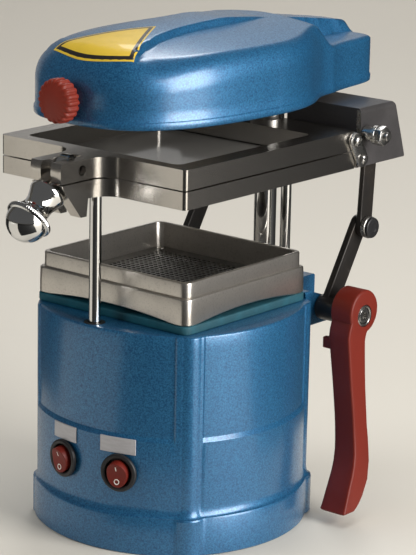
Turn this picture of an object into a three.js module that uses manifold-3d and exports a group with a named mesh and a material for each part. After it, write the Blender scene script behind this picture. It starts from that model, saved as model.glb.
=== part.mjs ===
// A dental vacuum former: a motor base with a perforated model tray, a clamping frame that
// slides down over the tray by a side lever, and a heater head on a swivelling post.
// Millimetres. +X is the lever side, -Y the front with its switches, +Z up.
// The origin lies on the table, under the middle of the tray.
import * as THREE from 'three';
import { mergeVertices } from 'three/addons/utils/BufferGeometryUtils.js';
import Module from 'manifold-3d';

const wasm = await Module();
wasm.setup();

// Fits shared by all pieces
const gap = 0.3; // running or seating gap between two pieces
const over = 1; // how far a cutting tool runs past what it cuts

// Motor base
const baseHeight = 136.5;
const baseMidHalf = 78.5; // centre to the middle of a bulging side
const baseCornerHalf = 59; // centre to where two sides would meet
const baseWall = 3;
const baseTopWall = 3;
const bandTop = 72; // top of the band that holds the switches
const bandStep = 2; // how far the band stands out of the panels above it
const bandChamfer = 2.2;
const plinthTop = 30;
const plinthCove = 7;
const plinthStep = 3.3;
const plinthCornerStep = 3.5;
const columnRadius = 9;
const columnInset = 4.5; // column axis inside the corner, along X and Y
const bossRadius = 5;
const bossInset = 13;
const bottomThickness = 2.5;
const footRadius = 9;
const footDepth = 1.6;
const ventCount = 7;
const ventPitch = 6;
const ventSize = [3, 24];
const ventHeight = 98;
const inletSize = [27.5, 20];
const inletHeight = 45;
const inletOffset = -24;
const inletDepth = 19;
const inletFlange = [4, 2.5];
const inletPinRadius = 1.6;

// Blower inside the base
const motorRadius = 36;
const motorHeight = 62;
const motorFootRadius = 41;
const motorFootHeight = 6;
const fanRadius = 45;
const fanHeight = 34;
const ductRadius = 13;
const ductWall = 2;

// Model tray and its gasket
const gasketThickness = 5.2;
const trayHalf = [60.4, 57.4];
const trayCorner = 4;
const trayLowerHeight = 16.6;
const trayUpperHeight = 9.3;
const trayStep = 2;
const trayWall = 2.6;
const trayFloorThickness = 3;
const trayPlateDepth = 16; // rim of the tray down to the perforated plate
const trayLedge = 3;
const archRise = 3.2;
const archEnd = 12;
const plateThickness = 1.8;
const plateHoleRadius = 1.9;
const plateHoleCount = 5;
const plateHolePitch = 20;

// Clamping frames
const frameHalfWidth = 73;
const frameFront = 75.4; // distance of the front face from the origin
const frameRear = 87.5;
const frameLift = 49.5; // raised frame over the tray's rim
const lowerFrameHeight = 10.9;
const upperFrameHeight = 12.4;
const openingHalfWidth = 60.3;
const openingFront = 66.8;
const openingRear = 58;
const openingCorner = 5;
const frameCorner = 5;
const sheetHalf = 62.7;
const sheetThickness = 1.2;

// Front ears and clamp
const pinY = -95.5;
const pinAboveSplit = 6.5;
const pinRadius = 2.8;
const pinInset = 2; // how far each end of the pin lies inside its hole
const earHalfWidth = 12;
const earRadius = 18.1; // front of the ear, round the pin
const earRoot = 13; // concave flare where the ear leaves the frame
const earDrop = 10.5; // how far the lower ear reaches under its frame
const earToe = 5;
const slotHalfWidth = 3.9;
const clampAngle = 38.5; // degrees of the clamp bolt below the horizontal
const eyeRadius = 8;
const studRadius = 3;
const studLength = 34;
const knobStandoff = 1.1; // the knob is backed off by this much
const knobCollarRadius = 11;
const knobWaistRadius = 8.4;
const knobRimRadius = 14.3;
const knobCollarLength = 5;
const knobWaistAt = 12.5;
const knobRimAt = 20;
const knobRimLength = 3.2;
const knobLength = 35.5;
const knobBoreDepth = 19;

// Columns and rods
const postY = 90.6;
const postRadius = 7.2;
const postReach = 15.5; // how far the post runs into the heater head
const frontRodY = -70.6;
const frontRodRadius = 3.7;
const frontRodReach = 7.5; // rod's end below its bush
const rearRodX = 18;
const rearRodRadius = 3.4;
const rearRodReach = 5; // rod's end below the bracket
const rodSeat = 8; // how deep a rod sits in its frame
const rodBushWall = 2.3;
const rodBushFlange = 2;
const rodBushLip = 1;
const frontBushLength = 7;
const sleeveWall = 3.3;
const sleeveHeight = 33;
const sleeveFlangeRadius = 15;
const sleeveFlangeThickness = 2.6;
const tongueHalfWidth = 22.5;
const tongueRear = 104;
const notchMargin = 1.6;

// Rear bracket of the base
const bracketPlay = 3; // bracket's end to the crank arm
const bracketRear = 102;
const bracketRise = 3.5; // bracket's top over the base's
const bracketHeight = 23;
const bracketEdge = 2;

// Rear cover of the carriage, folded from sheet
const coverSheet = 3;
const coverRise = 13; // cover's top over the upper frame
const coverFront = 91.5;
const coverRear = 127;
const coverFoot = 139;
const apronHeight = 11.3;
const lugDepth = 12;
const lugWidth = 12;
const coverBolt = { y: 96, rise: 10, spoolRadius: 4.6, spool: 7.5, washerRadius: 6, washer: 3, nutRadius: 6.4, nut: 5, head: 4 };
const coverBoltTip = { radius: 3, length: 3 };
const coverBoltInner = { radius: 3, length: 8 };

// Lid hinge
const hingeUpperPlace = [84.3, 7]; // from the origin, and over the split
const hingeLowerPlace = [91.4, -5.4];
const hingePlateRadius = 6;
const hingePlateThickness = 2;
const hingeScrewRadius = 2;
const hingeHeadRadius = 4;
const hingeHeadHeight = 2.4;
const hingeScrewDepth = 8;

// Lifting linkage
const shaftY = 76.3;
const shaftDrop = 11.8; // shaft below the bracket's top
const shaftRadius = 5;
const crankLength = 56.2;
const crankAngle = 58.7; // degrees above the horizontal, towards the rear
const crankThickness = 4.5;
const crankWidth = 13;
const hubRadius = 9.5;
const linkTopPlace = [109, 2]; // from the origin, and over the split
const linkPlay = 0.8; // link to the cover's cheek
const linkThickness = 3.4;
const linkWidth = 12.5;
const linkPinRadius = 4;
const linkHeadRadius = 6;
const linkHeadHeight = 2.4;
const linkBoltRadius = 7;
const linkBoltLength = 9;

// Lever
const leverStandoff = 3; // lever outside the frames
const leverThickness = 16;
const leverHubRadius = 14;
const leverLength = 122;
const leverBushRadius = 6.8;
const leverBushDepth = 5;
const leverEnd = [57, 8]; // y of the tip's middle and how far its sides open
const leverNub = [4.5, 4, 7];

// Switches
const switchHeight = 50;
const switchX = [-15, 27];
const switchBodyRadius = 9.6;
const switchBodyDepth = 17;
const switchFlangeRadius = 11.7;
const switchFlangeDepth = 2.4;
const switchFlangeSeat = 3.4; // flange back to the curved wall's highest point
const rockerRadius = 8.4;
const rockerThickness = 5;
const rockerTilt = 10; // degrees
const rockerWell = 7;
const labelX = [-15, 28.5];
const labelZ = [66.4, 66.6];
const labelWidth = [20, 29];
const labelHeight = 9.8;
const labelThickness = 0.8;

// Heater head
const heaterClearance = 17.8; // heater over the upper frame
const heaterSwing = 1.7; // degrees that the head stands turned about its post
const heaterHalfWidth = 65.2;
const heaterFront = 112; // front reach, from the middle of its oval
const heaterBack = 76;
const heaterMiddle = 24;
const heaterPowers = [2.77, 2.2]; // exponents of the oval's front and back
const tailHalfWidth = 35;
const tailFlare = 25; // how fast the tail widens into the body
const tailEnd = 161;
const tailRise = 29.5;
const tailRoot = [84, 106]; // where the body's hollows run down into the tail
const rimHeight = 4.6;
const rimStep = 1.1;
const crownRise = 52.1; // crown over the rim
const crownApex = 48.7; // from here the crown falls to the front
const frontFall = [11.4, 3.4]; // fall to the front tip, and its exponent
const sideFall = [7.9, 1.7]; // fall to the side, and its exponent
const wallRise = [18.8, 26.8]; // upright wall at the front tip and at the sides
const shoulderReach = [18.2, 9]; // rounding over the wall, at the same places
const scallopDepth = 4.2; // hollows beside the spine
const spineFall = [5.4, 56, 1.23]; // fall of the spine, over this run, and its exponent
const spineEnd = [154.8, 9]; // where the spine's end starts to round off, and over what run
const spineHalf = [[-75, 36], [-60, 27], [-37, 20.5], [-15, 17], [10, 15], [42, 14], [65, 12], [120, 9.5], [165, 9]];
const spineFlank = 3.5;
const heaterWall = 1.6;
const heaterPlateThickness = 1.4;
const reflectorRadius = 54;
const reflectorRise = 12;
const reflectorWall = 1;
const elementRadius = 47;
const elementThickness = 5;
const elementGroove = [4, 2];
const pivotRadius = 13;
const pivotHeight = 20;
const collarRadius = 12;
const collarHeight = 3.8;
const heaterKnobRadius = 13.2;
const heaterKnobLength = 11.5;
const heaterKnobStem = [7, 4];
const heaterKnobRise = 14.7; // knob's axis over the heater's rim
const fluteCount = 12;
const fluteRadius = 2.2;

// Heights and places that follow
const gasketTop = baseHeight + gasketThickness;
const trayShoulder = gasketTop + trayLowerHeight;
const trayTop = trayShoulder + trayUpperHeight;
const trayPlateTop = trayTop - trayPlateDepth;
const lowerFrameBottom = trayTop + frameLift;
const splitZ = lowerFrameBottom + lowerFrameHeight;
const upperFrameBottom = splitZ + gap;
const upperFrameTop = splitZ + upperFrameHeight + gap;
const pinZ = splitZ + pinAboveSplit;
const hingeUpper = [hingeUpperPlace[0], splitZ + hingeUpperPlace[1]];
const hingeLower = [hingeLowerPlace[0], splitZ + hingeLowerPlace[1]];
const linkTop = [linkTopPlace[0], splitZ + linkTopPlace[1]];
const coverTop = upperFrameTop + coverRise;
const apronBottom = coverTop - apronHeight;
const heaterBottom = upperFrameTop + heaterClearance;
const heaterKnobZ = heaterBottom + heaterKnobRise;
const postTop = heaterBottom + postReach;
const bracketTop = baseHeight + bracketRise;
const bracketBottom = bracketTop - bracketHeight;
const shaftZ = bracketTop - shaftDrop;
const frontRodBottom = baseHeight - frontBushLength - frontRodReach;
const rearRodBottom = bracketBottom - rearRodReach;
const linkOuter = frameHalfWidth - coverSheet - linkPlay;
const linkInner = linkOuter - linkThickness;
const crankInner = linkInner - gap - crankThickness;
const bracketHalfWidth = crankInner - bracketPlay;
const leverInner = frameHalfWidth + leverStandoff;
const motorBase = bottomThickness + gap;
const fanBottom = motorBase + motorHeight;
const baseRear = baseCornerHalf;
const earRear = frameFront - 2 * gap;

// Colours and finishes
const paint = { color: 0x2f74a8, roughness: 0.45, metalness: 0.1 };
const castMetal = { color: 0x9c9992, roughness: 0.35, metalness: 0.9 };
const chrome = { color: 0xd9d9d6, roughness: 0.08, metalness: 1 };
const steel = { color: 0xa9a7a2, roughness: 0.3, metalness: 0.95 };
const darkSteel = { color: 0x36332f, roughness: 0.5, metalness: 0.7 };
const redPlastic = { color: 0x9c3024, roughness: 0.4, metalness: 0 };
const blackPlastic = { color: 0x17181a, roughness: 0.5, metalness: 0 };
const teal = { color: 0x0c6266, roughness: 0.6, metalness: 0 };
const rubber = { color: 0x202020, roughness: 0.85, metalness: 0 };
const ceramic = { color: 0xd8d0c0, roughness: 0.8, metalness: 0 };
const clearSheet = { color: 0xcfdde0, roughness: 0.1, metalness: 0 };
const labelPlastic = { color: 0xc9cccb, roughness: 0.5, metalness: 0 };
const bronze = { color: 0xa8814a, roughness: 0.4, metalness: 0.9 };

const rad = THREE.MathUtils.degToRad;
const group = new THREE.Group();

// Solids from three.js geometries, and back
function solid(geometry) {
  geometry.deleteAttribute('normal');
  geometry.deleteAttribute('uv');
  const merged = mergeVertices(geometry, over / 1e4);
  return new wasm.Manifold(new wasm.Mesh({
    numProp: 3,
    vertProperties: merged.attributes.position.array,
    triVerts: new Uint32Array(merged.index.array),
  }));
}

function geometryOf(made) {
  const mesh = made.getMesh();
  const geometry = new THREE.BufferGeometry();
  geometry.setAttribute('position', new THREE.BufferAttribute(mesh.vertProperties, 3));
  geometry.setIndex(new THREE.BufferAttribute(mesh.triVerts, 1));
  geometry.computeVertexNormals();
  return geometry;
}

function add(name, made, finish) {
  const mesh = new THREE.Mesh(geometryOf(made), new THREE.MeshStandardMaterial(finish));
  mesh.name = name;
  group.add(mesh);
}

const join = (first, ...rest) => rest.reduce((all, one) => all.add(one), first);
const cut = (first, ...rest) => rest.reduce((all, one) => all.subtract(one), first);

// A block between two opposite corners
function block(low, high) {
  const size = high.map((v, i) => v - low[i]);
  const geometry = new THREE.BoxGeometry(...size);
  geometry.translate(...low.map((v, i) => v + size[i] / 2));
  return solid(geometry);
}

// A round bar between two points
function bar(radius, from, to, sides = 24, endRadius = radius) {
  const a = new THREE.Vector3(...from);
  const b = new THREE.Vector3(...to);
  const geometry = new THREE.CylinderGeometry(endRadius, radius, a.distanceTo(b), sides);
  const turn = new THREE.Quaternion().setFromUnitVectors(new THREE.Vector3(0, 1, 0), b.clone().sub(a).normalize());
  geometry.applyQuaternion(turn);
  geometry.translate(...a.add(b).multiplyScalar(0.5).toArray());
  return solid(geometry);
}

const barX = (radius, y, z, x0, x1, sides) => bar(radius, [x0, y, z], [x1, y, z], sides);
const barZ = (radius, x, y, z0, z1, sides) => bar(radius, [x, y, z0], [x, y, z1], sides);

// A closed outline of [x, y] points raised from z0 to z1
function prism(points, z0, z1) {
  const shape = new THREE.Shape(points.map((p) => new THREE.Vector2(...p)));
  const geometry = new THREE.ExtrudeGeometry(shape, { depth: z1 - z0, bevelEnabled: false });
  geometry.translate(0, 0, z0);
  return solid(geometry);
}

// A closed outline of [y, z] points run from x0 to x1
function sidePrism(points, x0, x1) {
  const shape = new THREE.Shape(points.map((p) => new THREE.Vector2(...p)));
  const geometry = new THREE.ExtrudeGeometry(shape, { depth: x1 - x0, bevelEnabled: false });
  geometry.rotateX(Math.PI / 2);
  geometry.rotateZ(Math.PI / 2);
  geometry.translate(x0, 0, 0);
  return solid(geometry);
}

// Points of an arc about (cx, cy), from angle a0 to a1 in degrees
function arc(cx, cy, radius, a0, a1, steps = 6) {
  const points = [];
  for (let i = 0; i <= steps; i += 1) {
    const a = rad(a0 + ((a1 - a0) * i) / steps);
    points.push([cx + radius * Math.cos(a), cy + radius * Math.sin(a)]);
  }
  return points;
}

// A rectangle with round corners
function roundedRectangle(x0, y0, x1, y1, radius, steps = 4) {
  return [
    ...arc(x1 - radius, y1 - radius, radius, 0, 90, steps),
    ...arc(x0 + radius, y1 - radius, radius, 90, 180, steps),
    ...arc(x0 + radius, y0 + radius, radius, 180, 270, steps),
    ...arc(x1 - radius, y0 + radius, radius, 270, 360, steps),
  ];
}

// A flat bar with round ends between two [y, z] points
function flatLink(from, to, width, x0, x1, steps = 8) {
  const angle = THREE.MathUtils.radToDeg(Math.atan2(to[1] - from[1], to[0] - from[0]));
  return sidePrism([
    ...arc(...to, width / 2, angle - 90, angle + 90, steps),
    ...arc(...from, width / 2, angle + 90, angle + 270, steps),
  ], x0, x1);
}

// A solid through rings of equal length, closed at both ends from the ring's middle
function loft(rings) {
  const count = rings[0].length;
  const points = rings.flat();
  const middle = (ring) => [0, 1, 2].map((k) => ring.reduce((sum, p) => sum + p[k], 0) / count);
  const first = points.push(middle(rings[0])) - 1;
  const last = points.push(middle(rings[rings.length - 1])) - 1;
  const faces = [];
  for (let i = 0; i < count; i += 1) {
    const next = (i + 1) % count;
    for (let r = 0; r + 1 < rings.length; r += 1) {
      const a = r * count;
      const b = a + count;
      faces.push(a + i, a + next, b + next, a + i, b + next, b + i);
    }
    const top = (rings.length - 1) * count;
    faces.push(first, next, i, last, top + i, top + next);
  }
  const geometry = new THREE.BufferGeometry();
  geometry.setAttribute('position', new THREE.Float32BufferAttribute(points.flat(), 3));
  geometry.setIndex(faces);
  return solid(geometry);
}

// A solid of revolution about Z from [radius, z] points that start and end on the axis
function turned(points, sides = 32) {
  const geometry = new THREE.LatheGeometry(points.map((p) => new THREE.Vector2(...p)), sides);
  geometry.rotateX(Math.PI / 2);
  return solid(geometry);
}

// Motor base: three bulging sides and a flat rear side
function basePlan(midHalf, cornerHalf, rear) {
  const rise = midHalf - cornerHalf;
  const radius = (cornerHalf * cornerHalf + rise * rise) / (2 * rise);
  const reach = THREE.MathUtils.radToDeg(Math.asin(cornerHalf / radius));
  const away = midHalf - radius;
  return [
    ...arc(-away, 0, radius, 180 - reach, 180 + reach, 12).map(([x, y]) => [x, Math.min(y, rear)]),
    ...arc(0, -away, radius, 270 - reach, 270 + reach, 12).slice(1),
    ...arc(away, 0, radius, -reach, reach, 12).slice(1).map(([x, y]) => [x, Math.min(y, rear)]),
  ];
}

function basePrism(midHalf, cornerHalf, rear, z0, z1) {
  return prism(basePlan(midHalf, cornerHalf, rear), z0, z1);
}

function baseLoft(levels) {
  return loft(levels.map(([z, out, corner]) => (
    basePlan(baseMidHalf + out, baseCornerHalf + corner, baseRear + corner).map(([x, y]) => [x, y, z])
  )));
}

const columnPlaces = [[-1, -1], [1, -1], [1, 1], [-1, 1]];
const bandCornerStep = bandStep / 3;

function baseBody(grow) {
  const plinthOut = bandStep + plinthStep;
  const plinthCorner = bandCornerStep + plinthCornerStep;
  const body = baseLoft([
    [0, plinthOut + grow, plinthCorner + grow],
    [plinthTop - plinthCove, plinthOut + grow, plinthCorner + grow],
    [plinthTop, bandStep + grow, bandCornerStep + grow],
    [bandTop, bandStep + grow, bandCornerStep + grow],
    [bandTop + bandChamfer, grow, grow],
    [baseHeight, grow, grow],
  ]);
  const place = baseCornerHalf - columnInset;
  const columns = columnPlaces.map(([sx, sy]) => (
    barZ(columnRadius + grow, sx * place, sy * place, plinthTop - plinthCove, baseHeight, 20)
  ));
  return join(body, ...columns);
}

const baseBulge = baseMidHalf - baseCornerHalf;
const baseArc = (baseCornerHalf * baseCornerHalf + baseBulge * baseBulge) / (2 * baseBulge);
const bandFront = baseMidHalf + bandStep;

// Where the band's front stands at x, and which way it faces there
function bandPlace(x) {
  const drop = baseArc - Math.sqrt(baseArc * baseArc - x * x);
  return { y: drop - bandFront, turn: Math.asin(x / baseArc) };
}

// Moves a piece made along +Z, at the origin, to a switch place facing out of the band
function atSwitch(made, x, tilt = 0) {
  const { y, turn } = bandPlace(x);
  return made.rotate([90 + tilt, 0, 0]).rotate([0, 0, THREE.MathUtils.radToDeg(turn)])
    .translate([x, y, switchHeight]);
}

function makeBase() {
  const cavityTop = baseHeight - baseTopWall;
  const cavity = basePrism(baseMidHalf - baseWall, baseCornerHalf - baseWall, baseRear - baseWall, -over, cavityTop);
  const rebateGrow = bottomThickness / 2;
  const bosses = columnPlaces.map(([sx, sy]) => {
    const place = baseCornerHalf - bossInset;
    return barZ(bossRadius, sx * place, sy * place, bottomThickness + gap, cavityTop + over, 16);
  });
  const vents = [];
  for (let i = 0; i < ventCount; i += 1) {
    const x = (i - (ventCount - 1) / 2) * ventPitch;
    const [width, height] = ventSize;
    vents.push(block(
      [x - width / 2, baseRear - baseWall - over, ventHeight - height / 2 - ventPitch],
      [x + width / 2, baseRear + over, ventHeight + height / 2 - ventPitch],
    ));
  }
  const [inletWidth, inletTall] = inletSize;
  const inletHole = block(
    [inletOffset - inletWidth / 2 - gap, baseRear - baseWall - over, inletHeight - inletTall / 2 - gap],
    [inletOffset + inletWidth / 2 + gap, baseRear + plinthCornerStep + over, inletHeight + inletTall / 2 + gap],
  );
  const switchHoles = switchX.map((x) => atSwitch(
    barZ(switchBodyRadius + gap, 0, 0, -switchBodyDepth, switchBodyRadius, 24), x,
  ));
  const bushHole = barZ(
    frontRodRadius + rodBushWall + 2 * gap, 0, frontRodY, baseHeight - frontBushLength - gap, baseHeight + over, 24,
  );
  const suction = barZ(ductRadius, 0, 0, cavityTop - over, baseHeight + over, 28);
  const shell = join(cut(baseBody(0), cavity), ...bosses);
  add('base_housing', cut(shell, ...vents, inletHole, ...switchHoles, bushHole, suction), paint);

  const plateGrow = baseWall + gap;
  const plate = basePrism(
    baseMidHalf - plateGrow, baseCornerHalf - plateGrow, baseRear - plateGrow, 0, bottomThickness,
  );
  const footPlace = baseCornerHalf - baseWall - footRadius - rebateGrow;
  const pockets = columnPlaces.map(([sx, sy]) => (
    barZ(footRadius + gap, sx * footPlace, sy * footPlace, -over, footDepth, 24)
  ));
  add('bottom_plate', cut(plate, ...pockets), darkSteel);
  columnPlaces.forEach(([sx, sy], i) => {
    add(`foot_pad_${i + 1}`, barZ(footRadius, sx * footPlace, sy * footPlace, 0, footDepth - gap, 24), rubber);
  });

  const [flange, flangeDepth] = inletFlange;
  const inletFace = baseRear + bandCornerStep;
  const inletBody = block(
    [inletOffset - inletWidth / 2, inletFace - inletDepth, inletHeight - inletTall / 2],
    [inletOffset + inletWidth / 2, inletFace + gap, inletHeight + inletTall / 2],
  );
  const inletPlate = block(
    [inletOffset - inletWidth / 2 - flange, inletFace + gap, inletHeight - inletTall / 2 - flange],
    [inletOffset + inletWidth / 2 + flange, inletFace + gap + flangeDepth, inletHeight + inletTall / 2 + flange],
  );
  const well = block(
    [inletOffset - inletWidth / 2 + flangeDepth, inletFace - inletDepth + flangeDepth, inletHeight - inletTall / 2 + flangeDepth],
    [inletOffset + inletWidth / 2 - flangeDepth, inletFace + flangeDepth + over, inletHeight + inletTall / 2 - flangeDepth],
  );
  const prongs = [-1, 0, 1].map((side) => bar(
    inletPinRadius,
    [inletOffset + side * 2 * flange, inletFace - inletDepth + gap, inletHeight + (side === 0 ? flange / 2 : -flange / 2)],
    [inletOffset + side * 2 * flange, inletFace - 3 * flangeDepth, inletHeight + (side === 0 ? flange / 2 : -flange / 2)],
    10,
  ));
  add('power_inlet', join(cut(join(inletBody, inletPlate), well), ...prongs), blackPlastic);
}

function makeBlower() {
  const can = barZ(motorRadius, 0, 0, motorBase, fanBottom, 28);
  const foot = barZ(motorFootRadius, 0, 0, motorBase, motorBase + motorFootHeight, 28);
  add('vacuum_motor', join(can, foot), steel);
  const fan = barZ(fanRadius, 0, 0, fanBottom + gap, fanBottom + fanHeight, 30);
  const duct = barZ(ductRadius + ductWall, 0, 0, fanBottom + fanHeight - over, baseHeight - baseTopWall - gap, 28);
  const eye = barZ(ductRadius, 0, 0, fanBottom + fanHeight / 2, baseHeight, 28);
  const outlet = block(
    [-ductRadius, 0, fanBottom + fanHeight / 4],
    [ductRadius, fanRadius + over, fanBottom + fanHeight - ductWall],
  );
  const chamber = barZ(fanRadius - ductWall, 0, 0, fanBottom + ductWall, fanBottom + fanHeight - ductWall, 30);
  add('fan_housing', cut(join(fan, duct), eye, outlet.subtract(chamber.intersect(outlet)), chamber), castMetal);
}

function makeTray() {
  const [halfX, halfY] = trayHalf;
  const gasket = prism(roundedRectangle(-halfX - gap, -halfY - gap, halfX + gap, halfY + gap, trayCorner), baseHeight, gasketTop);
  const hole = barZ(ductRadius, 0, 0, baseHeight - over, gasketTop + trayFloorThickness + over, 28);
  add('deck_gasket', cut(gasket, hole), teal);

  const lower = prism(roundedRectangle(-halfX, -halfY, halfX, halfY, trayCorner), gasketTop, trayShoulder);
  const upX = halfX - trayStep;
  const upY = halfY - trayStep;
  const upper = prism(roundedRectangle(-upX, -upY, upX, upY, trayCorner), trayShoulder - over, trayTop);
  const inX = upX - trayWall;
  const inY = upY - trayWall;
  const well = prism(roundedRectangle(-inX, -inY, inX, inY, trayCorner), trayPlateTop - plateThickness - gap, trayTop + over);
  const chamber = prism(
    roundedRectangle(trayLedge - inX, trayLedge - inY, inX - trayLedge, inY - trayLedge, trayCorner),
    gasketTop + trayFloorThickness, trayTop,
  );
  // Each side's lower edge is arched between its corners
  const archX = archTool(halfX - archEnd);
  const fronts = [-1, 1].map((side) => archX.translate([0, side * halfY, 0]));
  const archY = archTool(halfY - archEnd).rotate([0, 0, 90]);
  const sides = [-1, 1].map((side) => archY.translate([side * halfX, 0, 0]));
  add('model_tray', cut(join(lower, upper), well, chamber, hole, ...fronts, ...sides), castMetal);

  const plate = prism(
    roundedRectangle(gap - inX, gap - inY, inX - gap, inY - gap, trayCorner), trayPlateTop - plateThickness, trayPlateTop,
  );
  const holes = [];
  for (let i = 0; i < plateHoleCount; i += 1) {
    for (let j = 0; j < plateHoleCount; j += 1) {
      const x = (i - (plateHoleCount - 1) / 2) * plateHolePitch;
      const y = (j - (plateHoleCount - 1) / 2) * plateHolePitch;
      holes.push(barZ(plateHoleRadius, x, y, trayPlateTop - plateThickness - over, trayPlateTop + over, 6));
    }
  }
  add('perforated_plate', cut(plate, ...holes), steel);
}

// The low arch under a tray side: a circle segment run through the wall along Y
function archTool(half) {
  const radius = (half * half + archRise * archRise) / (2 * archRise);
  const reach = THREE.MathUtils.radToDeg(Math.asin(half / radius));
  const points = arc(0, archRise - radius, radius, 90 - reach, 90 + reach, 12);
  const shape = new THREE.Shape([...points, [-half, -over], [half, -over]].map((p) => new THREE.Vector2(...p)));
  const depth = trayWall + trayStep + trayLedge;
  const geometry = new THREE.ExtrudeGeometry(shape, { depth, bevelEnabled: false });
  geometry.rotateX(Math.PI / 2);
  geometry.translate(0, depth / 2, gasketTop);
  return solid(geometry);
}

// The side view of an ear: round its pin in front, then straight down along the clamp's seat
const clampDirection = [-Math.cos(rad(clampAngle)), -Math.sin(rad(clampAngle))];

function upperEar() {
  const topReach = Math.asin((upperFrameTop - pinZ) / earRadius) * THREE.MathUtils.RAD2DEG;
  const lowReach = Math.asin((upperFrameBottom - pinZ) / earRadius) * THREE.MathUtils.RAD2DEG;
  return sidePrism([
    ...arc(pinY, pinZ, earRadius, 180 - topReach, 180 - lowReach, 8),
    [-earRear, upperFrameBottom],
    [-earRear, upperFrameTop],
  ], -frameHalfWidth, frameHalfWidth);
}

function lowerEar() {
  const start = Math.asin((splitZ - pinZ) / earRadius) * THREE.MathUtils.RAD2DEG;
  const round = arc(pinY, pinZ, earRadius, 180 - start, 180 + clampAngle, 6);
  const [tangentY, tangentZ] = round[round.length - 1];
  const toeZ = lowerFrameBottom - earDrop;
  const slope = clampDirection[1] / clampDirection[0];
  const toeY = tangentY + (tangentZ - toeZ) * slope;
  return sidePrism([
    ...round,
    [toeY, toeZ],
    [toeY + earToe, toeZ],
    [toeY + earToe + gap, lowerFrameBottom],
    [-earRear, lowerFrameBottom],
    [-earRear, splitZ],
  ], -frameHalfWidth, frameHalfWidth);
}

// The ear seen from above: parallel cheeks that flare into the frame's front
function earPlan(z0, z1) {
  const front = pinY - earRadius - over;
  const flareY = -frameFront - earRoot;
  const flareX = earHalfWidth + earRoot;
  return prism([
    [-earHalfWidth, front],
    [earHalfWidth, front],
    ...arc(flareX, flareY, earRoot, 180, 90, 6),
    [flareX, -earRear],
    [-flareX, -earRear],
    ...arc(-flareX, flareY, earRoot, 90, 0, 6),
  ], z0, z1);
}

function earCuts() {
  const slot = block(
    [-slotHalfWidth, pinY - earRadius - over, lowerFrameBottom - earDrop - over],
    [slotHalfWidth, pinY + eyeRadius + 2 * gap, upperFrameTop + over],
  );
  const bore = barX(pinRadius + gap, pinY, pinZ, -earHalfWidth - over, earHalfWidth + over, 20);
  return [slot, bore];
}

// A frame's ring, from its outline and its opening
function frameRing(z0, z1) {
  const outer = prism(roundedRectangle(-frameHalfWidth, -frameFront, frameHalfWidth, frameRear, frameCorner), z0, z1);
  const opening = prism(
    roundedRectangle(-openingHalfWidth, -openingFront, openingHalfWidth, openingRear, openingCorner), z0 - over, z1 + over,
  );
  return cut(outer, opening);
}

const crankEnd = [
  shaftY + crankLength * Math.cos(rad(crankAngle)),
  shaftZ + crankLength * Math.sin(rad(crankAngle)),
];

function makeLowerFrame() {
  const ring = frameRing(lowerFrameBottom, splitZ);
  const tongue = block([-tongueHalfWidth, openingRear + over, lowerFrameBottom], [tongueHalfWidth, tongueRear, splitZ]);
  const lugs = [-1, 1].map((side) => {
    const x0 = side * (frameHalfWidth - coverSheet - gap - lugWidth);
    const x1 = side * (frameHalfWidth - coverSheet - gap);
    return block([Math.min(x0, x1), frameRear - frameCorner - over, lowerFrameBottom], [Math.max(x0, x1), frameRear + lugDepth, splitZ]);
  });
  const ear = lowerEar().intersect(earPlan(lowerFrameBottom - earDrop - over, splitZ));
  const sleeveBore = barZ(postRadius + gap + sleeveWall + gap, 0, postY, lowerFrameBottom - over, splitZ + over, 24);
  const rearRodBore = barZ(rearRodRadius + gap, rearRodX, postY - notchMargin, lowerFrameBottom - over, lowerFrameBottom + rodSeat, 20);
  const frontRodBore = barZ(frontRodRadius + gap, 0, frontRodY, lowerFrameBottom - over, lowerFrameBottom + rodSeat, 20);
  const rebateHalf = sheetHalf + gap;
  const rebateMiddle = (openingRear - openingFront) / 2;
  const rebate = block(
    [-rebateHalf, rebateMiddle - rebateHalf, splitZ - sheetThickness - gap],
    [rebateHalf, rebateMiddle + rebateHalf, splitZ + over],
  );
  const screwBores = [-1, 1].map((side) => barX(
    hingeScrewRadius + gap, ...hingeLower,
    side * (frameHalfWidth - coverSheet - hingeScrewDepth), side * (frameHalfWidth + over), 14,
  ));
  const made = join(ring, tongue, ...lugs, ear);
  add('lower_frame', cut(made, ...earCuts(), sleeveBore, rearRodBore, frontRodBore, rebate, ...screwBores), castMetal);

  add('forming_sheet', block(
    [-sheetHalf, rebateMiddle - sheetHalf, splitZ - sheetThickness - gap / 2],
    [sheetHalf, rebateMiddle + sheetHalf, splitZ - gap / 2],
  ), clearSheet);
  add('front_guide_rod', barZ(frontRodRadius, 0, frontRodY, frontRodBottom, lowerFrameBottom + rodSeat - gap, 28), chrome);
  add('rear_guide_rod', barZ(
    rearRodRadius, rearRodX, postY - notchMargin, rearRodBottom, lowerFrameBottom + rodSeat - gap, 24,
  ), chrome);

  const sleeveOuter = postRadius + gap + sleeveWall;
  const tube = barZ(sleeveOuter, 0, postY, lowerFrameBottom, lowerFrameBottom + sleeveHeight, 24);
  const flange = barZ(sleeveFlangeRadius, 0, postY, splitZ, splitZ + sleeveFlangeThickness, 24);
  const bore = barZ(postRadius + gap, 0, postY, lowerFrameBottom - over, lowerFrameBottom + sleeveHeight + over, 24);
  add('guide_sleeve', cut(join(tube, flange), bore), steel);
}

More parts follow.
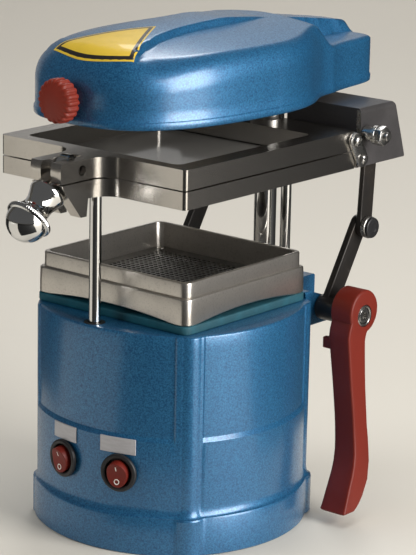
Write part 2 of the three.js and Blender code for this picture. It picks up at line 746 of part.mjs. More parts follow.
function makeUpperFrame() {
  const ring = frameRing(upperFrameBottom, upperFrameTop);
  const ear = upperEar().intersect(earPlan(upperFrameBottom, upperFrameTop));
  const notchHalf = sleeveFlangeRadius + notchMargin;
  const notch = block(
    [-notchHalf, postY - notchHalf, upperFrameBottom - over], [notchHalf, frameRear + over, upperFrameTop + over],
  );
  const screwBores = [-1, 1].map((side) => barX(
    hingeScrewRadius + gap, ...hingeUpper,
    side * (frameHalfWidth - hingeScrewDepth), side * (frameHalfWidth + over), 14,
  ));
  add('upper_frame', cut(join(ring, ear), ...earCuts(), notch, ...screwBores), castMetal);
  add('clamp_pin', barX(pinRadius, pinY, pinZ, pinInset - earHalfWidth, earHalfWidth - pinInset, 20), steel);
}

// Turns a piece made along +Z about the clamp pin so that it lies along the clamp's direction
function atClamp(made) {
  return made.rotate([90 + clampAngle, 0, 0]).translate([0, pinY, pinZ]);
}

function makeClamp() {
  const half = slotHalfWidth - gap;
  const eye = bar(eyeRadius, [-half, 0, 0], [half, 0, 0], 22);
  const stud = barZ(studRadius, 0, 0, 0, studLength, 20);
  const pinHole = bar(pinRadius + gap, [-half - over, 0, 0], [half + over, 0, 0], 20);
  add('swing_bolt', atClamp(cut(join(eye, stud), pinHole)), chrome);

  const seat = earRadius + knobStandoff;
  const at = (radius, along) => [radius, seat + along];
  const rimTop = knobRimAt + knobRimLength;
  const domeDepth = knobLength - rimTop;
  const dome = [];
  for (let i = 1; i <= 6; i += 1) {
    const a = rad((90 * i) / 7);
    dome.push(at(knobRimRadius * 0.94 * Math.cos(a), rimTop + domeDepth * Math.sin(a)));
  }
  const outside = turned([
    at(0, 0),
    at(knobCollarRadius * 0.92, 0),
    at(knobCollarRadius, knobCollarLength * 0.35),
    at(knobCollarRadius, knobCollarLength * 0.8),
    at(knobWaistRadius * 1.08, knobWaistAt * 0.72),
    at(knobWaistRadius, knobWaistAt),
    at(knobWaistRadius * 1.16, (knobWaistAt + knobRimAt) / 2),
    at(knobRimRadius * 0.95, knobRimAt),
    at(knobRimRadius, knobRimAt + knobRimLength * 0.2),
    at(knobRimRadius, knobRimAt + knobRimLength * 0.8),
    at(knobRimRadius * 0.94, rimTop),
    ...dome,
    at(0, knobLength),
  ], 20);
  const bore = barZ(studRadius + gap, 0, 0, seat - over, seat + knobBoreDepth, 20);
  add('clamp_knob', atClamp(cut(outside, bore)), chrome);
}

function makeRearCover() {
  const outer = frameHalfWidth;
  const inner = outer - coverSheet;
  const shoulder = frameRear + gap;
  const cheek = [
    [shoulder, lowerFrameBottom],
    [coverFoot, lowerFrameBottom],
    [coverRear, coverTop],
    [coverFront, coverTop],
    [coverFront, hingeUpper[1] - hingePlateRadius / 2],
    [shoulder, splitZ],
  ];
  const cheeks = [-1, 1].map((side) => sidePrism(cheek, Math.min(side * inner, side * outer), Math.max(side * inner, side * outer)));
  const top = block([-outer, coverFront, coverTop - coverSheet], [outer, coverRear, coverTop]);
  const apron = block([-outer, coverFront, apronBottom], [outer, coverFront + coverSheet, coverTop]);
  const notch = barZ(collarRadius + 2 * notchMargin, 0, postY, apronBottom - over, coverTop + over, 24);
  const screwBores = [-1, 1].map((side) => barX(
    hingeScrewRadius + gap, ...hingeLower, side * (inner - over), side * (outer + over), 14,
  ));
  const boltBores = [-1, 1].map((side) => barX(
    coverBoltInner.radius + gap, coverBolt.y, splitZ + coverBolt.rise, side * (inner - over), side * (outer + over), 14,
  ));
  add('rear_cover', cut(join(top, apron, ...cheeks), notch, ...screwBores, ...boltBores), darkSteel);

  const sides = [['right', 1], ['left', -1]];
  sides.forEach(([name, side]) => {
    const { y } = coverBolt;
    const z = splitZ + coverBolt.rise;
    let x = outer;
    const step = (radius, length, count) => {
      const made = barX(radius, y, z, side * x, side * (x + length), count);
      x += length;
      return made;
    };
    const outside = join(
      step(coverBolt.spoolRadius, coverBolt.spool, 14),
      step(coverBolt.washerRadius, coverBolt.washer, 14),
      step(coverBolt.nutRadius, coverBolt.nut, 6),
      step(coverBoltTip.radius, coverBoltTip.length, 10),
    );
    const inside = barX(coverBoltInner.radius, y, z, side * (inner - coverBoltInner.length), side * (outer + over), 16);
    const back = barX(coverBolt.head, y, z, side * (inner - gap - coverBolt.nut), side * (inner - gap), 6);
    add(`cover_bolt_${name}`, join(outside, inside, back), steel);

    const plateIn = outer + gap;
    const plateOut = plateIn + hingePlateThickness;
    const link = flatLink(hingeLower, hingeUpper, 2 * hingePlateRadius, side < 0 ? -plateOut : plateIn, side < 0 ? -plateIn : plateOut);
    const bores = [hingeUpper, hingeLower].map((p) => barX(
      hingeScrewRadius + gap, ...p, side * (plateIn - over), side * (plateOut + over), 14,
    ));
    add(`hinge_plate_${name}`, cut(link, ...bores), steel);
    [['upper', hingeUpper, outer], ['lower', hingeLower, inner]].forEach(([level, place, wall]) => {
      const shank = barX(hingeScrewRadius, ...place, side * (wall - hingeScrewDepth + over), side * (plateOut + over), 12);
      const head = barX(hingeHeadRadius, ...place, side * (plateOut + gap), side * (plateOut + gap + hingeHeadHeight), 18);
      const slit = block(
        [side * (plateOut + hingeHeadHeight) - over / 2, place[0] - hingeHeadRadius - over, place[1] - gap],
        [side * (plateOut + hingeHeadHeight) + over / 2, place[0] + hingeHeadRadius + over, place[1] + gap],
      );
      add(`hinge_screw_${level}_${name}`, cut(join(shank, head), slit), steel);
    });
  });
}

function makeLinkage() {
  const shaftEnd = leverInner + leverThickness;
  add('lever_shaft', barX(shaftRadius, shaftY, shaftZ, -linkOuter - over, shaftEnd - gap, 24), steel);
  [['right', 1], ['left', -1]].forEach(([name, side]) => {
    const range = (x0, x1) => [Math.min(side * x0, side * x1), Math.max(side * x0, side * x1)];
    const arm = flatLink([shaftY, shaftZ], crankEnd, crankWidth, ...range(crankInner, crankInner + crankThickness));
    const hubOuter = side > 0 ? leverInner - gap : linkOuter;
    const hub = barX(hubRadius, shaftY, shaftZ, side * (bracketHalfWidth + gap), side * hubOuter, 28);
    const bore = barX(shaftRadius + gap, shaftY, shaftZ, side * (bracketHalfWidth - over), side * (hubOuter + over), 24);
    add(`crank_${name}`, cut(join(arm, hub), bore), darkSteel);

    const link = flatLink(crankEnd, linkTop, linkWidth, ...range(linkInner, linkOuter));
    const eyes = [crankEnd, linkTop].map((p) => barX(
      linkPinRadius + gap, ...p, side * (linkInner - over), side * (linkOuter + over), 20,
    ));
    add(`lift_link_${name}`, cut(link, ...eyes), darkSteel);

    const head = barX(linkBoltRadius, ...crankEnd, side * (linkOuter + gap), side * (linkOuter + gap + linkBoltLength), 24);
    const neck = barX(linkPinRadius, ...crankEnd, side * (linkInner + gap), side * (linkOuter + over), 20);
    add(`link_bolt_${name}`, join(head, neck), steel);

    const studEnd = frameHalfWidth - coverSheet;
    const stud = barX(linkPinRadius, ...linkTop, side * (linkInner - over), side * studEnd, 20);
    const cap = barX(linkHeadRadius, ...linkTop, side * (linkInner - gap - linkHeadHeight), side * (linkInner - gap), 20);
    add(`link_pivot_${name}`, join(stud, cap), steel);
  });
}

// Lever: height below the shaft as a share of the length, then the arm's front and rear edges
// and its inner and outer faces as shares of the hub radius and of the lever's thickness
const leverShares = [
  [0.04, -1.0, 0.98, 0.0, 1.0],
  [0.13, -1.14, 0.06, 0.04, 1.03],
  [0.35, -1.08, 0.08, 0.15, 1.12],
  [0.60, -0.95, 0.1, 0.33, 1.3],
  [0.72, -1.05, 0.06, 0.46, 1.43],
  [0.82, -1.28, -0.1, 0.52, 1.56],
  [0.92, -1.62, -0.6, 0.56, 1.72],
  [0.985, -1.72, -1.16, 0.6, 1.8],
];

function makeLever() {
  const rings = leverShares.map(([down, front, rear, inner, outer]) => {
    const z = shaftZ - down * leverLength;
    const y0 = shaftY + front * leverHubRadius;
    const y1 = shaftY + rear * leverHubRadius;
    const x0 = leverInner + inner * leverThickness;
    const x1 = leverInner + outer * leverThickness;
    const edge = Math.min(x1 - x0, y1 - y0) / 4;
    return roundedRectangle(x0, y0, x1, y1, edge, 3).map(([x, y]) => [x, y, z]);
  });
  const arm = loft(rings.reverse());
  const lift = leverHubRadius / 6;
  const head = barX(leverHubRadius, shaftY, shaftZ + lift, leverInner, leverInner + leverThickness, 30);
  const bore = barX(shaftRadius + gap, shaftY, shaftZ, leverInner - over, leverInner + leverThickness + over, 24);
  const counterbore = barX(
    leverBushRadius + gap, shaftY, shaftZ, leverInner + leverThickness - leverBushDepth, leverInner + leverThickness + over, 28,
  );
  const [nubOut, nubDeep, nubTall] = leverNub;
  const nubTop = shaftZ - leverHubRadius;
  const nubFront = shaftY - leverHubRadius * 1.1;
  const nub = block([leverInner - nubOut, nubFront, nubTop - nubTall], [leverInner + nubOut, nubFront + nubDeep, nubTop]);
  add('lever_handle', cut(join(arm, head, nub), bore, counterbore), redPlastic);
  const bushOuter = leverInner + leverThickness + gap;
  const bush = barX(leverBushRadius, shaftY, shaftZ, bushOuter - leverBushDepth, bushOuter, 28);
  const eye = barX(shaftRadius + gap, shaftY, shaftZ, bushOuter - leverBushDepth - over, bushOuter + over, 24);
  add('lever_bush', cut(bush, eye), steel);
}

function makeBracket() {
  const plan = roundedRectangle(-bracketHalfWidth, baseRear - columnRadius, bracketHalfWidth, bracketRear, bracketEdge, 3);
  const body = prism(plan, bracketBottom, bracketTop);
  const clear = baseBody(gap);
  const overBase = block(
    [-bracketHalfWidth - over, baseRear - columnRadius - over, baseHeight - over],
    [bracketHalfWidth + over, baseRear + gap + bandCornerStep, bracketTop + over],
  );
  const postBore = barZ(postRadius + gap, 0, postY, bracketBottom + bracketEdge, bracketTop + over, 24);
  const shaftBore = barX(shaftRadius + gap, shaftY, shaftZ, -bracketHalfWidth - over, bracketHalfWidth + over, 24);
  const bushOuter = rearRodRadius + gap + rodBushWall;
  const rearRodY = postY - notchMargin;
  const bushBore = barZ(bushOuter + gap, rearRodX, rearRodY, bracketBottom - over, bracketTop + over, 24);
  add('rear_bracket', cut(body, clear, overBase, postBore, shaftBore, bushBore), paint);
  add('main_post', barZ(postRadius, 0, postY, bracketBottom + bracketEdge + gap, postTop, 28), chrome);
  const tube = barZ(bushOuter, rearRodX, rearRodY, bracketBottom, bracketTop + gap, 24);
  const lip = barZ(bushOuter + rodBushLip, rearRodX, rearRodY, bracketTop + gap, bracketTop + gap + rodBushFlange, 24);
  const bore = barZ(rearRodRadius + gap, rearRodX, rearRodY, bracketBottom - over, bracketTop + rodBushFlange + 2 * over, 24);
  add('rear_rod_bush', cut(join(tube, lip), bore), bronze);

  const frontOuter = frontRodRadius + gap + rodBushWall;
  const frontTube = barZ(frontOuter, 0, frontRodY, baseHeight - frontBushLength, baseHeight + gap, 24);
  const frontBore = barZ(
    frontRodRadius + gap, 0, frontRodY, baseHeight - frontBushLength - over, baseHeight + 2 * over, 24,
  );
  add('front_rod_bush', cut(frontTube, frontBore), bronze);
}

function makeSwitches() {
  [['left', switchX[0]], ['right', switchX[1]]].forEach(([name, x]) => {
    const seat = switchFlangeSeat - switchFlangeDepth;
    const body = barZ(switchBodyRadius, 0, 0, -switchBodyDepth, seat + gap, 24);
    const flange = barZ(switchFlangeRadius, 0, 0, seat, switchFlangeSeat, 28);
    const well = barZ(rockerRadius + 2 * gap, 0, 0, switchFlangeSeat - rockerWell, switchFlangeSeat + over, 24);
    add(`switch_body_${name}`, atSwitch(cut(join(body, flange), well), x), blackPlastic);
    const rocker = barZ(rockerRadius, 0, 0, -rockerThickness / 2, rockerThickness / 2, 24);
    const tilted = rocker.rotate([rockerTilt, 0, 0]).translate([0, 0, switchFlangeSeat]);
    add(`rocker_${name}`, atSwitch(tilted, x), redPlastic);
  });
}

// Two blank plates bent to the band's curve, one over each switch
function makeLabels() {
  const shell = (grow) => basePrism(
    bandFront + grow, baseCornerHalf + bandCornerStep + grow, 0, plinthTop, bandTop,
  );
  const skin = cut(shell(gap + labelThickness), shell(gap));
  ['left', 'right'].forEach((name, i) => {
    const x = labelX[i];
    const window = block(
      [x - labelWidth[i] / 2, -bandFront - bandStep, labelZ[i] - labelHeight / 2],
      [x + labelWidth[i] / 2, -baseCornerHalf, labelZ[i] + labelHeight / 2],
    );
    add(`label_plate_${name}`, skin.intersect(window), labelPlastic);
  });
}

// Heater cover: the distance of its outline from the middle, in the direction of an angle
function coverReach(angle, grow) {
  const c = Math.abs(Math.cos(angle));
  const s = Math.sin(angle);
  const oval = (along, power) => (
    (c / heaterHalfWidth) ** power + Math.abs(s / along) ** power
  ) ** (-1 / power);
  if (s <= 0) return oval(heaterFront, heaterPowers[0]) + grow;
  const slope = THREE.MathUtils.clamp(c / s, 0.2, 0.55);
  const halfWidth = tailHalfWidth + tailFlare * (slope - 0.26);
  const tailPower = 9;
  const tail = (
    (c / halfWidth) ** tailPower + (s / (tailEnd - heaterMiddle)) ** tailPower
  ) ** (-1 / tailPower);
  const blend = 10;
  return (oval(heaterBack, heaterPowers[1]) ** blend + tail ** blend) ** (1 / blend) + grow;
}

// Half the spine's width, between the listed places
function spineWidth(y) {
  const next = Math.max(1, spineHalf.findIndex(([place]) => place > y));
  const [y0, w0] = spineHalf[next - 1];
  const [y1, w1] = spineHalf[next];
  return THREE.MathUtils.mapLinear(THREE.MathUtils.clamp(y, y0, y1), y0, y1, w0, w1);
}

// How high the cover's top stands over the rim, before its shoulder is rounded. The body falls
// to the front and sides, the hollows lie below it and run down into the tail, and the spine
// stays up between them
function crownHeight(x, y, withSpine) {
  const { lerp, smoothstep } = THREE.MathUtils;
  const ahead = Math.max(crownApex - y, 0) / (crownApex - heaterMiddle + heaterFront);
  const body = crownRise - frontFall[0] * ahead ** frontFall[1]
    - sideFall[0] * Math.abs(x / heaterHalfWidth) ** sideFall[1];
  const side = lerp(body - scallopDepth, tailRise, smoothstep(y, ...tailRoot));
  if (!withSpine) return side;
  const behind = Math.max(y - heaterMiddle, 0) / spineFall[1];
  const along = crownRise - spineFall[0] * behind ** spineFall[2];
  const end = THREE.MathUtils.clamp((y - spineEnd[0]) / spineEnd[1], 0, 1);
  const ridge = lerp(side, Math.max(side, lerp(body, along, smoothstep(y, 5, 45))), Math.sqrt(1 - end * end));
  const width = spineWidth(y);
  const beside = smoothstep(Math.abs(x), width, width + spineFlank) * smoothstep(y, -78, -60);
  return lerp(y < -78 ? body : ridge, side, beside);
}

// Rings from the rim up the wall, over the shoulder and across the top
function coverSurface(grow, lowest, drop, shares) {
  const sides = 60;
  const angles = Array.from({ length: sides }, (_, i) => (2 * Math.PI * (i + 0.5)) / sides);
  const atFront = (a) => Math.min(Math.sin(a), 0) ** 2;
  const blend = (pair, a) => THREE.MathUtils.lerp(pair[1], pair[0], atFront(a));
  const ring = (heightAt) => angles.map((a) => {
    const reach = coverReach(a, grow);
    return [reach * Math.cos(a), heaterMiddle + reach * Math.sin(a), heaterBottom + heightAt(a)];
  });
  const dome = (share) => angles.map((a) => {
    const full = coverReach(a, grow);
    const depth = full * (1 - share);
    const x = full * share * Math.cos(a);
    const y = heaterMiddle + full * share * Math.sin(a);
    const open = 1 - Math.min(depth / blend(shoulderReach, a), 1);
    const wall = blend(wallRise, a);
    const top = crownHeight(x, y, drop === 0);
    return [x, y, heaterBottom - drop + wall + (top - wall) * Math.sqrt(1 - open * open)];
  });
  return [
    ring(() => lowest),
    ...(shares.length ? [ring((a) => blend(wallRise, a) - drop)] : []),
    ...shares.map(dome),
  ];
}

function makeHeater() {
  const swung = (made) => made
    .translate([0, -postY, 0]).rotate([0, 0, -heaterSwing]).translate([0, postY, 0]);
  const shares = [0.994, 0.976, 0.945, 0.9, 0.84, 0.77, 0.69, 0.61, 0.52, 0.43, 0.34, 0.25, 0.15, 0.05];
  const outside = loft(coverSurface(0, 0, 0, shares));
  const rim = loft([0, rimHeight].map((h) => coverSurface(rimStep, h, 0, [])[0]));
  const innerShares = [0.985, 0.94, 0.84, 0.6, 0.3];
  const inside = loft(coverSurface(-heaterWall, -over, 2 * heaterWall, innerShares));
  add('heater_cover', swung(cut(join(outside, rim), inside)), paint);

  const plateOutline = coverSurface(-heaterWall - gap, gap, 0, [])[0].map(([x, y]) => [x, y]);
  const plateTop = heaterBottom + gap + heaterPlateThickness;
  const plate = prism(plateOutline, heaterBottom + gap, plateTop);
  const window = barZ(reflectorRadius - over, 0, 0, heaterBottom - over, plateTop + over, 30);
  const socket = barZ(pivotRadius, 0, postY, heaterBottom + gap, heaterBottom + gap + pivotHeight, 28);
  const socketBore = barZ(postRadius + gap, 0, postY, heaterBottom - over, heaterBottom + pivotHeight + over, 24);
  add('heater_plate', swung(cut(join(plate, socket), window, socketBore)), steel);

  const bowl = turned([
    [0, reflectorRise - reflectorWall],
    [reflectorRadius - reflectorRise, reflectorRise - reflectorWall],
    [reflectorRadius, 0],
    [reflectorRadius, reflectorWall],
    [reflectorRadius - reflectorRise, reflectorRise],
    [0, reflectorRise],
  ], 30).translate([0, 0, plateTop + gap]);
  add('reflector', swung(bowl), steel);
  const elementTop = plateTop + reflectorRise - reflectorWall;
  const disc = barZ(elementRadius - reflectorRise, 0, 0, elementTop - elementThickness, elementTop, 30);
  const [pitch, depth] = elementGroove;
  const grooves = [1, 3, 5].map((n) => cut(
    barZ((n + 1) * pitch, 0, 0, elementTop - elementThickness - over, elementTop - elementThickness + depth, 28),
    barZ(n * pitch, 0, 0, elementTop - elementThickness - 2 * over, elementTop, 28),
  ));
  add('heating_element', swung(cut(disc, ...grooves)), ceramic);

  const collar = barZ(collarRadius, 0, postY, heaterBottom - collarHeight, heaterBottom, 28);
  const collarBore = barZ(postRadius + gap, 0, postY, heaterBottom - collarHeight - over, heaterBottom + over, 24);
  add('post_collar', cut(collar, collarBore), steel);

  const [stemRadius, stemLength] = heaterKnobStem;
  const wallY = heaterMiddle - heaterFront - gap;
  const head = wallY - stemLength;
  const tip = head - heaterKnobLength;
  const blank = join(
    bar(heaterKnobRadius, [0, head, heaterKnobZ], [0, tip + fluteRadius, heaterKnobZ], 56),
    bar(heaterKnobRadius, [0, tip + fluteRadius, heaterKnobZ], [0, tip, heaterKnobZ], 56, heaterKnobRadius - fluteRadius),
    bar(stemRadius, [0, wallY, heaterKnobZ], [0, head - over, heaterKnobZ], 20),
  );
  const flutes = Array.from({ length: fluteCount }, (_, i) => {
    const a = (2 * Math.PI * i) / fluteCount;
    const reach = heaterKnobRadius + fluteRadius * 0.7;
    const x = reach * Math.cos(a);
    const z = heaterKnobZ + reach * Math.sin(a);
    return bar(fluteRadius, [x, head + over, z], [x, tip - over, z], 8);
  });
  add('heater_knob', swung(cut(blank, ...flutes)), redPlastic);
}

makeBase();
makeBlower();
makeTray();
makeBracket();
makeSwitches();
makeLabels();
makeLowerFrame();
makeRearCover();
makeUpperFrame();
makeClamp();
makeLinkage();
makeLever();
makeHeater();

export default group;
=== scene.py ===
"""A dental vacuum former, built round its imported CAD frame.

Sizes in the property groups are lengths; the mesh code works in millimetres and every mesh
is scaled to metres as it is made. +X is the lever side, -Y the front, +Z up.
"""

import math

import bmesh
import bpy
import numpy as np
from mathutils import Matrix, Vector


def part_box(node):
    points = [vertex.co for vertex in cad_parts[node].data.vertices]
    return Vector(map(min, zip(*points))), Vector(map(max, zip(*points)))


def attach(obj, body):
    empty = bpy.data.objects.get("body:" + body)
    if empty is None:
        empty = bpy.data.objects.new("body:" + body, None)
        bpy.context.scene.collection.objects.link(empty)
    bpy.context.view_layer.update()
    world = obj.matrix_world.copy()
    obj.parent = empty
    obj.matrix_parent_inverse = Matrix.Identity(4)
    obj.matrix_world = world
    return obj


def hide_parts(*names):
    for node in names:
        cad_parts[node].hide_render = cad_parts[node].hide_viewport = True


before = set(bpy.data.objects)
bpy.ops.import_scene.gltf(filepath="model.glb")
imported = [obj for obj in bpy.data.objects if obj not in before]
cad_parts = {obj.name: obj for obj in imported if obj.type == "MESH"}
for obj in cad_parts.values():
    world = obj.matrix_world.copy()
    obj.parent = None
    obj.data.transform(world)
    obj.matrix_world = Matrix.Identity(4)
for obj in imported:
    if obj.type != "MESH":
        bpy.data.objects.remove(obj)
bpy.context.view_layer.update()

bl_info = {
    "name": "Dental vacuum former",
    "version": (1, 0, 0),
    "blender": (4, 5, 0),
    "location": "3D View > Sidebar > Vacuum former",
    "description": "Builds the dressed pieces, materials and stage of a dental vacuum former",
    "category": "Add Mesh",
}

MM = 0.001
TAU = 2 * math.pi
CORNERS = ((-1, -1), (-1, 1), (1, -1), (1, 1))
SIDES = {"right": 1, "left": -1}


# Sizes and colours

def length(name, value, words):
    """A size in the sidebar, given here in millimetres."""
    return bpy.props.FloatProperty(
        name=name, description=words, default=value * MM, unit="LENGTH", precision=4)


def angle(name, degrees, words):
    """An angle in the sidebar, given here in degrees."""
    return bpy.props.FloatProperty(
        name=name, description=words, default=math.radians(degrees), unit="ROTATION")


def count(name, value, words):
    """How many of a repeated form."""
    return bpy.props.IntProperty(name=name, description=words, default=value, min=1)


def colour(name, value, words):
    """A linear colour."""
    return bpy.props.FloatVectorProperty(
        name=name, description=words, default=value, size=3, min=0, max=1, subtype="COLOR")


class FORMER_PG_base(bpy.types.PropertyGroup):
    """Sizes of the motor base."""
    middle: length("Side middle", 78.5, "Axis to the middle of a bulging panel")
    corner: length("Side end", 59, "Axis to where two sides meet")
    wall: length("Wall", 3, "Thickness of the casting")
    band_low: length("Band bottom", 30, "Height at which the cove ends and the band begins")
    band_top: length("Band top", 70.8, "Top edge of the band that holds the switches")
    band_rise: length("Band chamfer", 2.6, "Height of the chamfer over the band")
    band_out: length("Band step", 2, "How far the band stands out of the panels")
    plinth_top: length("Plinth top", 24, "Height of the plinth's upper edge")
    plinth_out: length("Plinth step", 3.3, "How far the plinth stands out of the band")
    proud: length("Column step", 1.0, "How far the corner strips stand out over the panels")
    column: length("Column radius", 8.6, "Radius of the corner columns")
    column_x: length("Column place X", 54.4, "Column axes from the base's middle along X")
    column_y: length("Column place Y", 50.9, "Column axes from the middle along Y")
    shift: length("Shift", 2.9, "How far the columns' middle lies towards the lever")
    edge: length("Top edge", 1.6, "Rounding of the top edge")
    vents: count("Vents", 7, "Upright slots in the rear wall")
    vent_pitch: length("Vent pitch", 6, "Distance between two vents")
    bore: length("Suction bore", 13, "Radius of the suction bore in the deck")


class FORMER_PG_tray(bpy.types.PropertyGroup):
    """Sizes of the model tray and its plate."""
    corner: length("Corner", 5, "Corner radius of the tray")
    lower: length("Lower tier", 16.6, "Height of the lower tier")
    step: length("Tier step", 2, "How far the upper tier stands in")
    wall: length("Wall", 2.6, "Wall at the tray's rim")
    arch: length("Arch", 3.2, "Rise of the arched lower edge")
    arch_end: length("Arch end", 11, "Flat foot at each end of an arch")
    edge: length("Edge", 1.1, "Rounding of the tiers' edges")
    hole: length("Hole", 1.45, "Radius of the plate's holes")
    hole_pitch: length("Hole pitch", 4, "Distance between two holes")


class FORMER_PG_frames(bpy.types.PropertyGroup):
    """Sizes of the clamping frames, their ears, rods and sleeve."""
    edge: length("Edge", 0.7, "Rounding of the cast edges")
    corner: length("Corner", 2.6, "Corner radius of the frames")
    ear: length("Ear radius", 18.1, "Front of the ears, round the pin")
    ear_half: length("Ear half width", 12, "Middle of the ear to a cheek's outside")
    ear_root: length("Ear root", 13, "Concave flare where an ear leaves its frame")
    ear_drop: length("Ear drop", 10.5, "How far the lower ear reaches under its frame")
    slot: length("Slot half width", 3.9, "Half the slot that the clamp bolt swings in")
    chamfer: length("Rod chamfer", 0.5, "Chamfer on rods and collars")


class FORMER_PG_clamp(bpy.types.PropertyGroup):
    """Sizes of the clamp bolt and its knob."""
    tilt: angle("Tilt", 38.5, "Clamp bolt below the horizontal")
    eye: length("Eye radius", 8, "Eye of the swing bolt")
    stud: length("Stud radius", 3, "Threaded stud")
    stud_end: length("Stud end", 34, "Pin to the stud's end")
    pitch: length("Thread pitch", 1, "Pitch of the thread")
    standoff: length("Standoff", 1.1, "Knob's collar off the ear")
    collar: length("Collar radius", 11, "Knob's collar")
    waist: length("Waist radius", 8.4, "Knob's waist")
    rim: length("Rim radius", 14.2, "Knurled rim of the knob")
    knurl: length("Knurl depth", 0.35, "Depth of the knurling")
    knurls: count("Knurls", 60, "Teeth round the rim")


class FORMER_PG_linkage(bpy.types.PropertyGroup):
    """Sizes of the rear cover, the linkage and the lever."""
    sheet: length("Cover sheet", 3, "Thickness of the folded cover")
    fold: length("Fold radius", 3.2, "Outside radius of the cover's folds")
    edge: length("Edge", 0.7, "Rounding of links and cranks")
    shaft: length("Shaft radius", 5, "Shaft that the lever turns")
    hub: length("Hub radius", 14, "Hub of the lever")
    hub_edge: length("Hub edge", 1.6, "Rounding of the lever's hub")
    lever_edge: length("Lever edge", 1.3, "Rounding of the lever's arm")
    screw: length("Screw head", 3.4, "Radius of the hinge screws' heads")
    slit: length("Screw slit", 0.9, "Width of the screws' slits")


class FORMER_PG_heater(bpy.types.PropertyGroup):
    """Sizes of the heater head."""
    half: length("Half width", 65.2, "Middle to the side of the oval")
    front: length("Front reach", 112, "Front of the oval from its middle")
    back: length("Back reach", 76, "Back of the oval from its middle")
    middle: length("Middle", 24, "Middle of the oval behind the axis")
    tail_half: length("Tail half width", 35, "Half the width of the tail")
    tail_end: length("Tail end", 161, "End of the tail behind the axis")
    tail: length("Tail height", 29.5, "Top of the tail over the rim")
    crown: length("Crown", 52.0, "Crown over the rim")
    apex: length("Crown's place", 48.7, "From here the crown falls to the front")
    front_fall: length("Front fall", 11.4, "Fall of the crown to the front tip")
    side_fall: length("Side fall", 7.9, "Fall of the crown to the side")
    wall_front: length("Front wall", 18.8, "Upright wall over the rim at the front tip")
    wall_side: length("Side wall", 26.8, "Upright wall over the rim at the sides")
    round_front: length("Front shoulder", 18.2, "Rounding over the front wall")
    round_side: length("Side shoulder", 9, "Rounding over the side walls")
    scallop: length("Scallop", 4.2, "Depth of the hollows beside the spine")
    flank: length("Spine flank", 2.6, "Width of the step from the spine to the hollow")
    spine_end: length("Spine end", 154.8, "Where the spine's end starts to round off")
    lip: length("Rim lip", 0.85, "How far the rim stands out")
    lip_top: length("Rim height", 4.6, "Height of the rim")
    knob: length("Knob radius", 13.2, "Fluted knob")
    flutes: count("Flutes", 20, "Flutes round the knob")
    swing: angle("Swing", 1.7, "How far the head is turned about its post at rest")


class FORMER_PG_finish(bpy.types.PropertyGroup):
    """Colours and surface grain."""
    paint_light: colour("Paint, light", (0.030, 0.19, 0.37), "Light flecks of the hammered paint")
    paint_dark: colour("Paint, dark", (0.003, 0.066, 0.18), "Dark pits of the hammered paint")
    paint_grain: length("Paint grain", 0.9, "Size of the paint's cells")
    metal: colour("Cast alloy", (0.56, 0.53, 0.49), "Ground faces of the castings")
    chrome: colour("Chrome", (0.78, 0.78, 0.77), "Plated rods and knob")
    steel: colour("Plain steel", (0.50, 0.49, 0.47), "Bolts and washers")
    black_steel: colour("Blackened steel", (0.035, 0.032, 0.03), "Links and cranks")
    cover: colour("Rear cover", (0.05, 0.047, 0.048), "Folded cover")
    red: colour("Red plastic", (0.145, 0.014, 0.007), "Lever")
    rocker: colour("Rocker", (0.14, 0.013, 0.008), "Switch rockers")
    black: colour("Black plastic", (0.01, 0.01, 0.011), "Switches and inlet")
    teal: colour("Gasket", (0.006, 0.058, 0.08), "Deck gasket")
    label: colour("Label plate", (0.42, 0.41, 0.42), "Plates over the switches")
    sticker: colour("Sticker", (0.62, 0.42, 0.035), "Triangle on the heater")
    floor: colour("Floor", (0.62, 0.585, 0.52), "Table and backdrop")


GROUPS = {
    "base": FORMER_PG_base, "tray": FORMER_PG_tray, "frames": FORMER_PG_frames,
    "clamp": FORMER_PG_clamp, "linkage": FORMER_PG_linkage, "heater": FORMER_PG_heater,
    "finish": FORMER_PG_finish,
}


class Sizes:
    """A property group read in millimetres, with whole numbers and angles as they are."""

    def __init__(self, group):
        self.group = getattr(bpy.context.scene, "former_" + group)

    def __getattr__(self, name):
        value = getattr(self.group, name)
        unit = self.group.bl_rna.properties[name]
        return value / MM if getattr(unit, "unit", "NONE") == "LENGTH" else value


def span(node):
    """Lowest and highest corner of a CAD node, in millimetres."""
    low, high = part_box(node)
    return np.array(low) / MM, np.array(high) / MM


def centre(node):
    """The middle of a CAD node, in millimetres."""
    low, high = span(node)
    return (low + high) / 2


# Forms: arrays of points and the faces between them

class Form:
    """Points in millimetres and faces that index them."""

    def __init__(self, points, faces):
        self.points = np.asarray(points, float).reshape(-1, 3)
        self.faces = faces

    def __add__(self, other):
        shift = len(self.points)
        moved = [[i + shift for i in face] for face in other.faces]
        return Form(np.vstack([self.points, other.points]), self.faces + moved)

    def at(self, x=0.0, y=0.0, z=0.0):
        return Form(self.points + (x, y, z), self.faces)

    def turned(self, axis, degrees, about=(0, 0, 0)):
        turn = np.array(Matrix.Rotation(math.radians(degrees), 3, axis))
        return Form((self.points - about) @ turn.T + about, self.faces)

    def sideways(self):
        """What was made along Z then lies along X, with its old X along Y and old Y along Z."""
        return Form(self.points[:, [2, 0, 1]], self.faces)

    def mirrored(self):
        """The other side's form, its faces turned so that they still point outwards."""
        return Form(self.points * (-1, 1, 1), [face[::-1] for face in self.faces])


def grid(points, wrap_u=False, wrap_v=False):
    """Quads over a grid of points [u, v, xyz]; a wrapped direction closes on itself."""
    rows, columns = points.shape[:2]
    index = np.arange(rows * columns).reshape(rows, columns)
    if wrap_u:
        index = np.vstack([index, index[:1]])
    if wrap_v:
        index = np.hstack([index, index[:, :1]])
    quads = np.stack([index[:-1, :-1], index[:-1, 1:], index[1:, 1:], index[1:, :-1]], -1)
    return Form(points, quads.reshape(-1, 4).tolist())


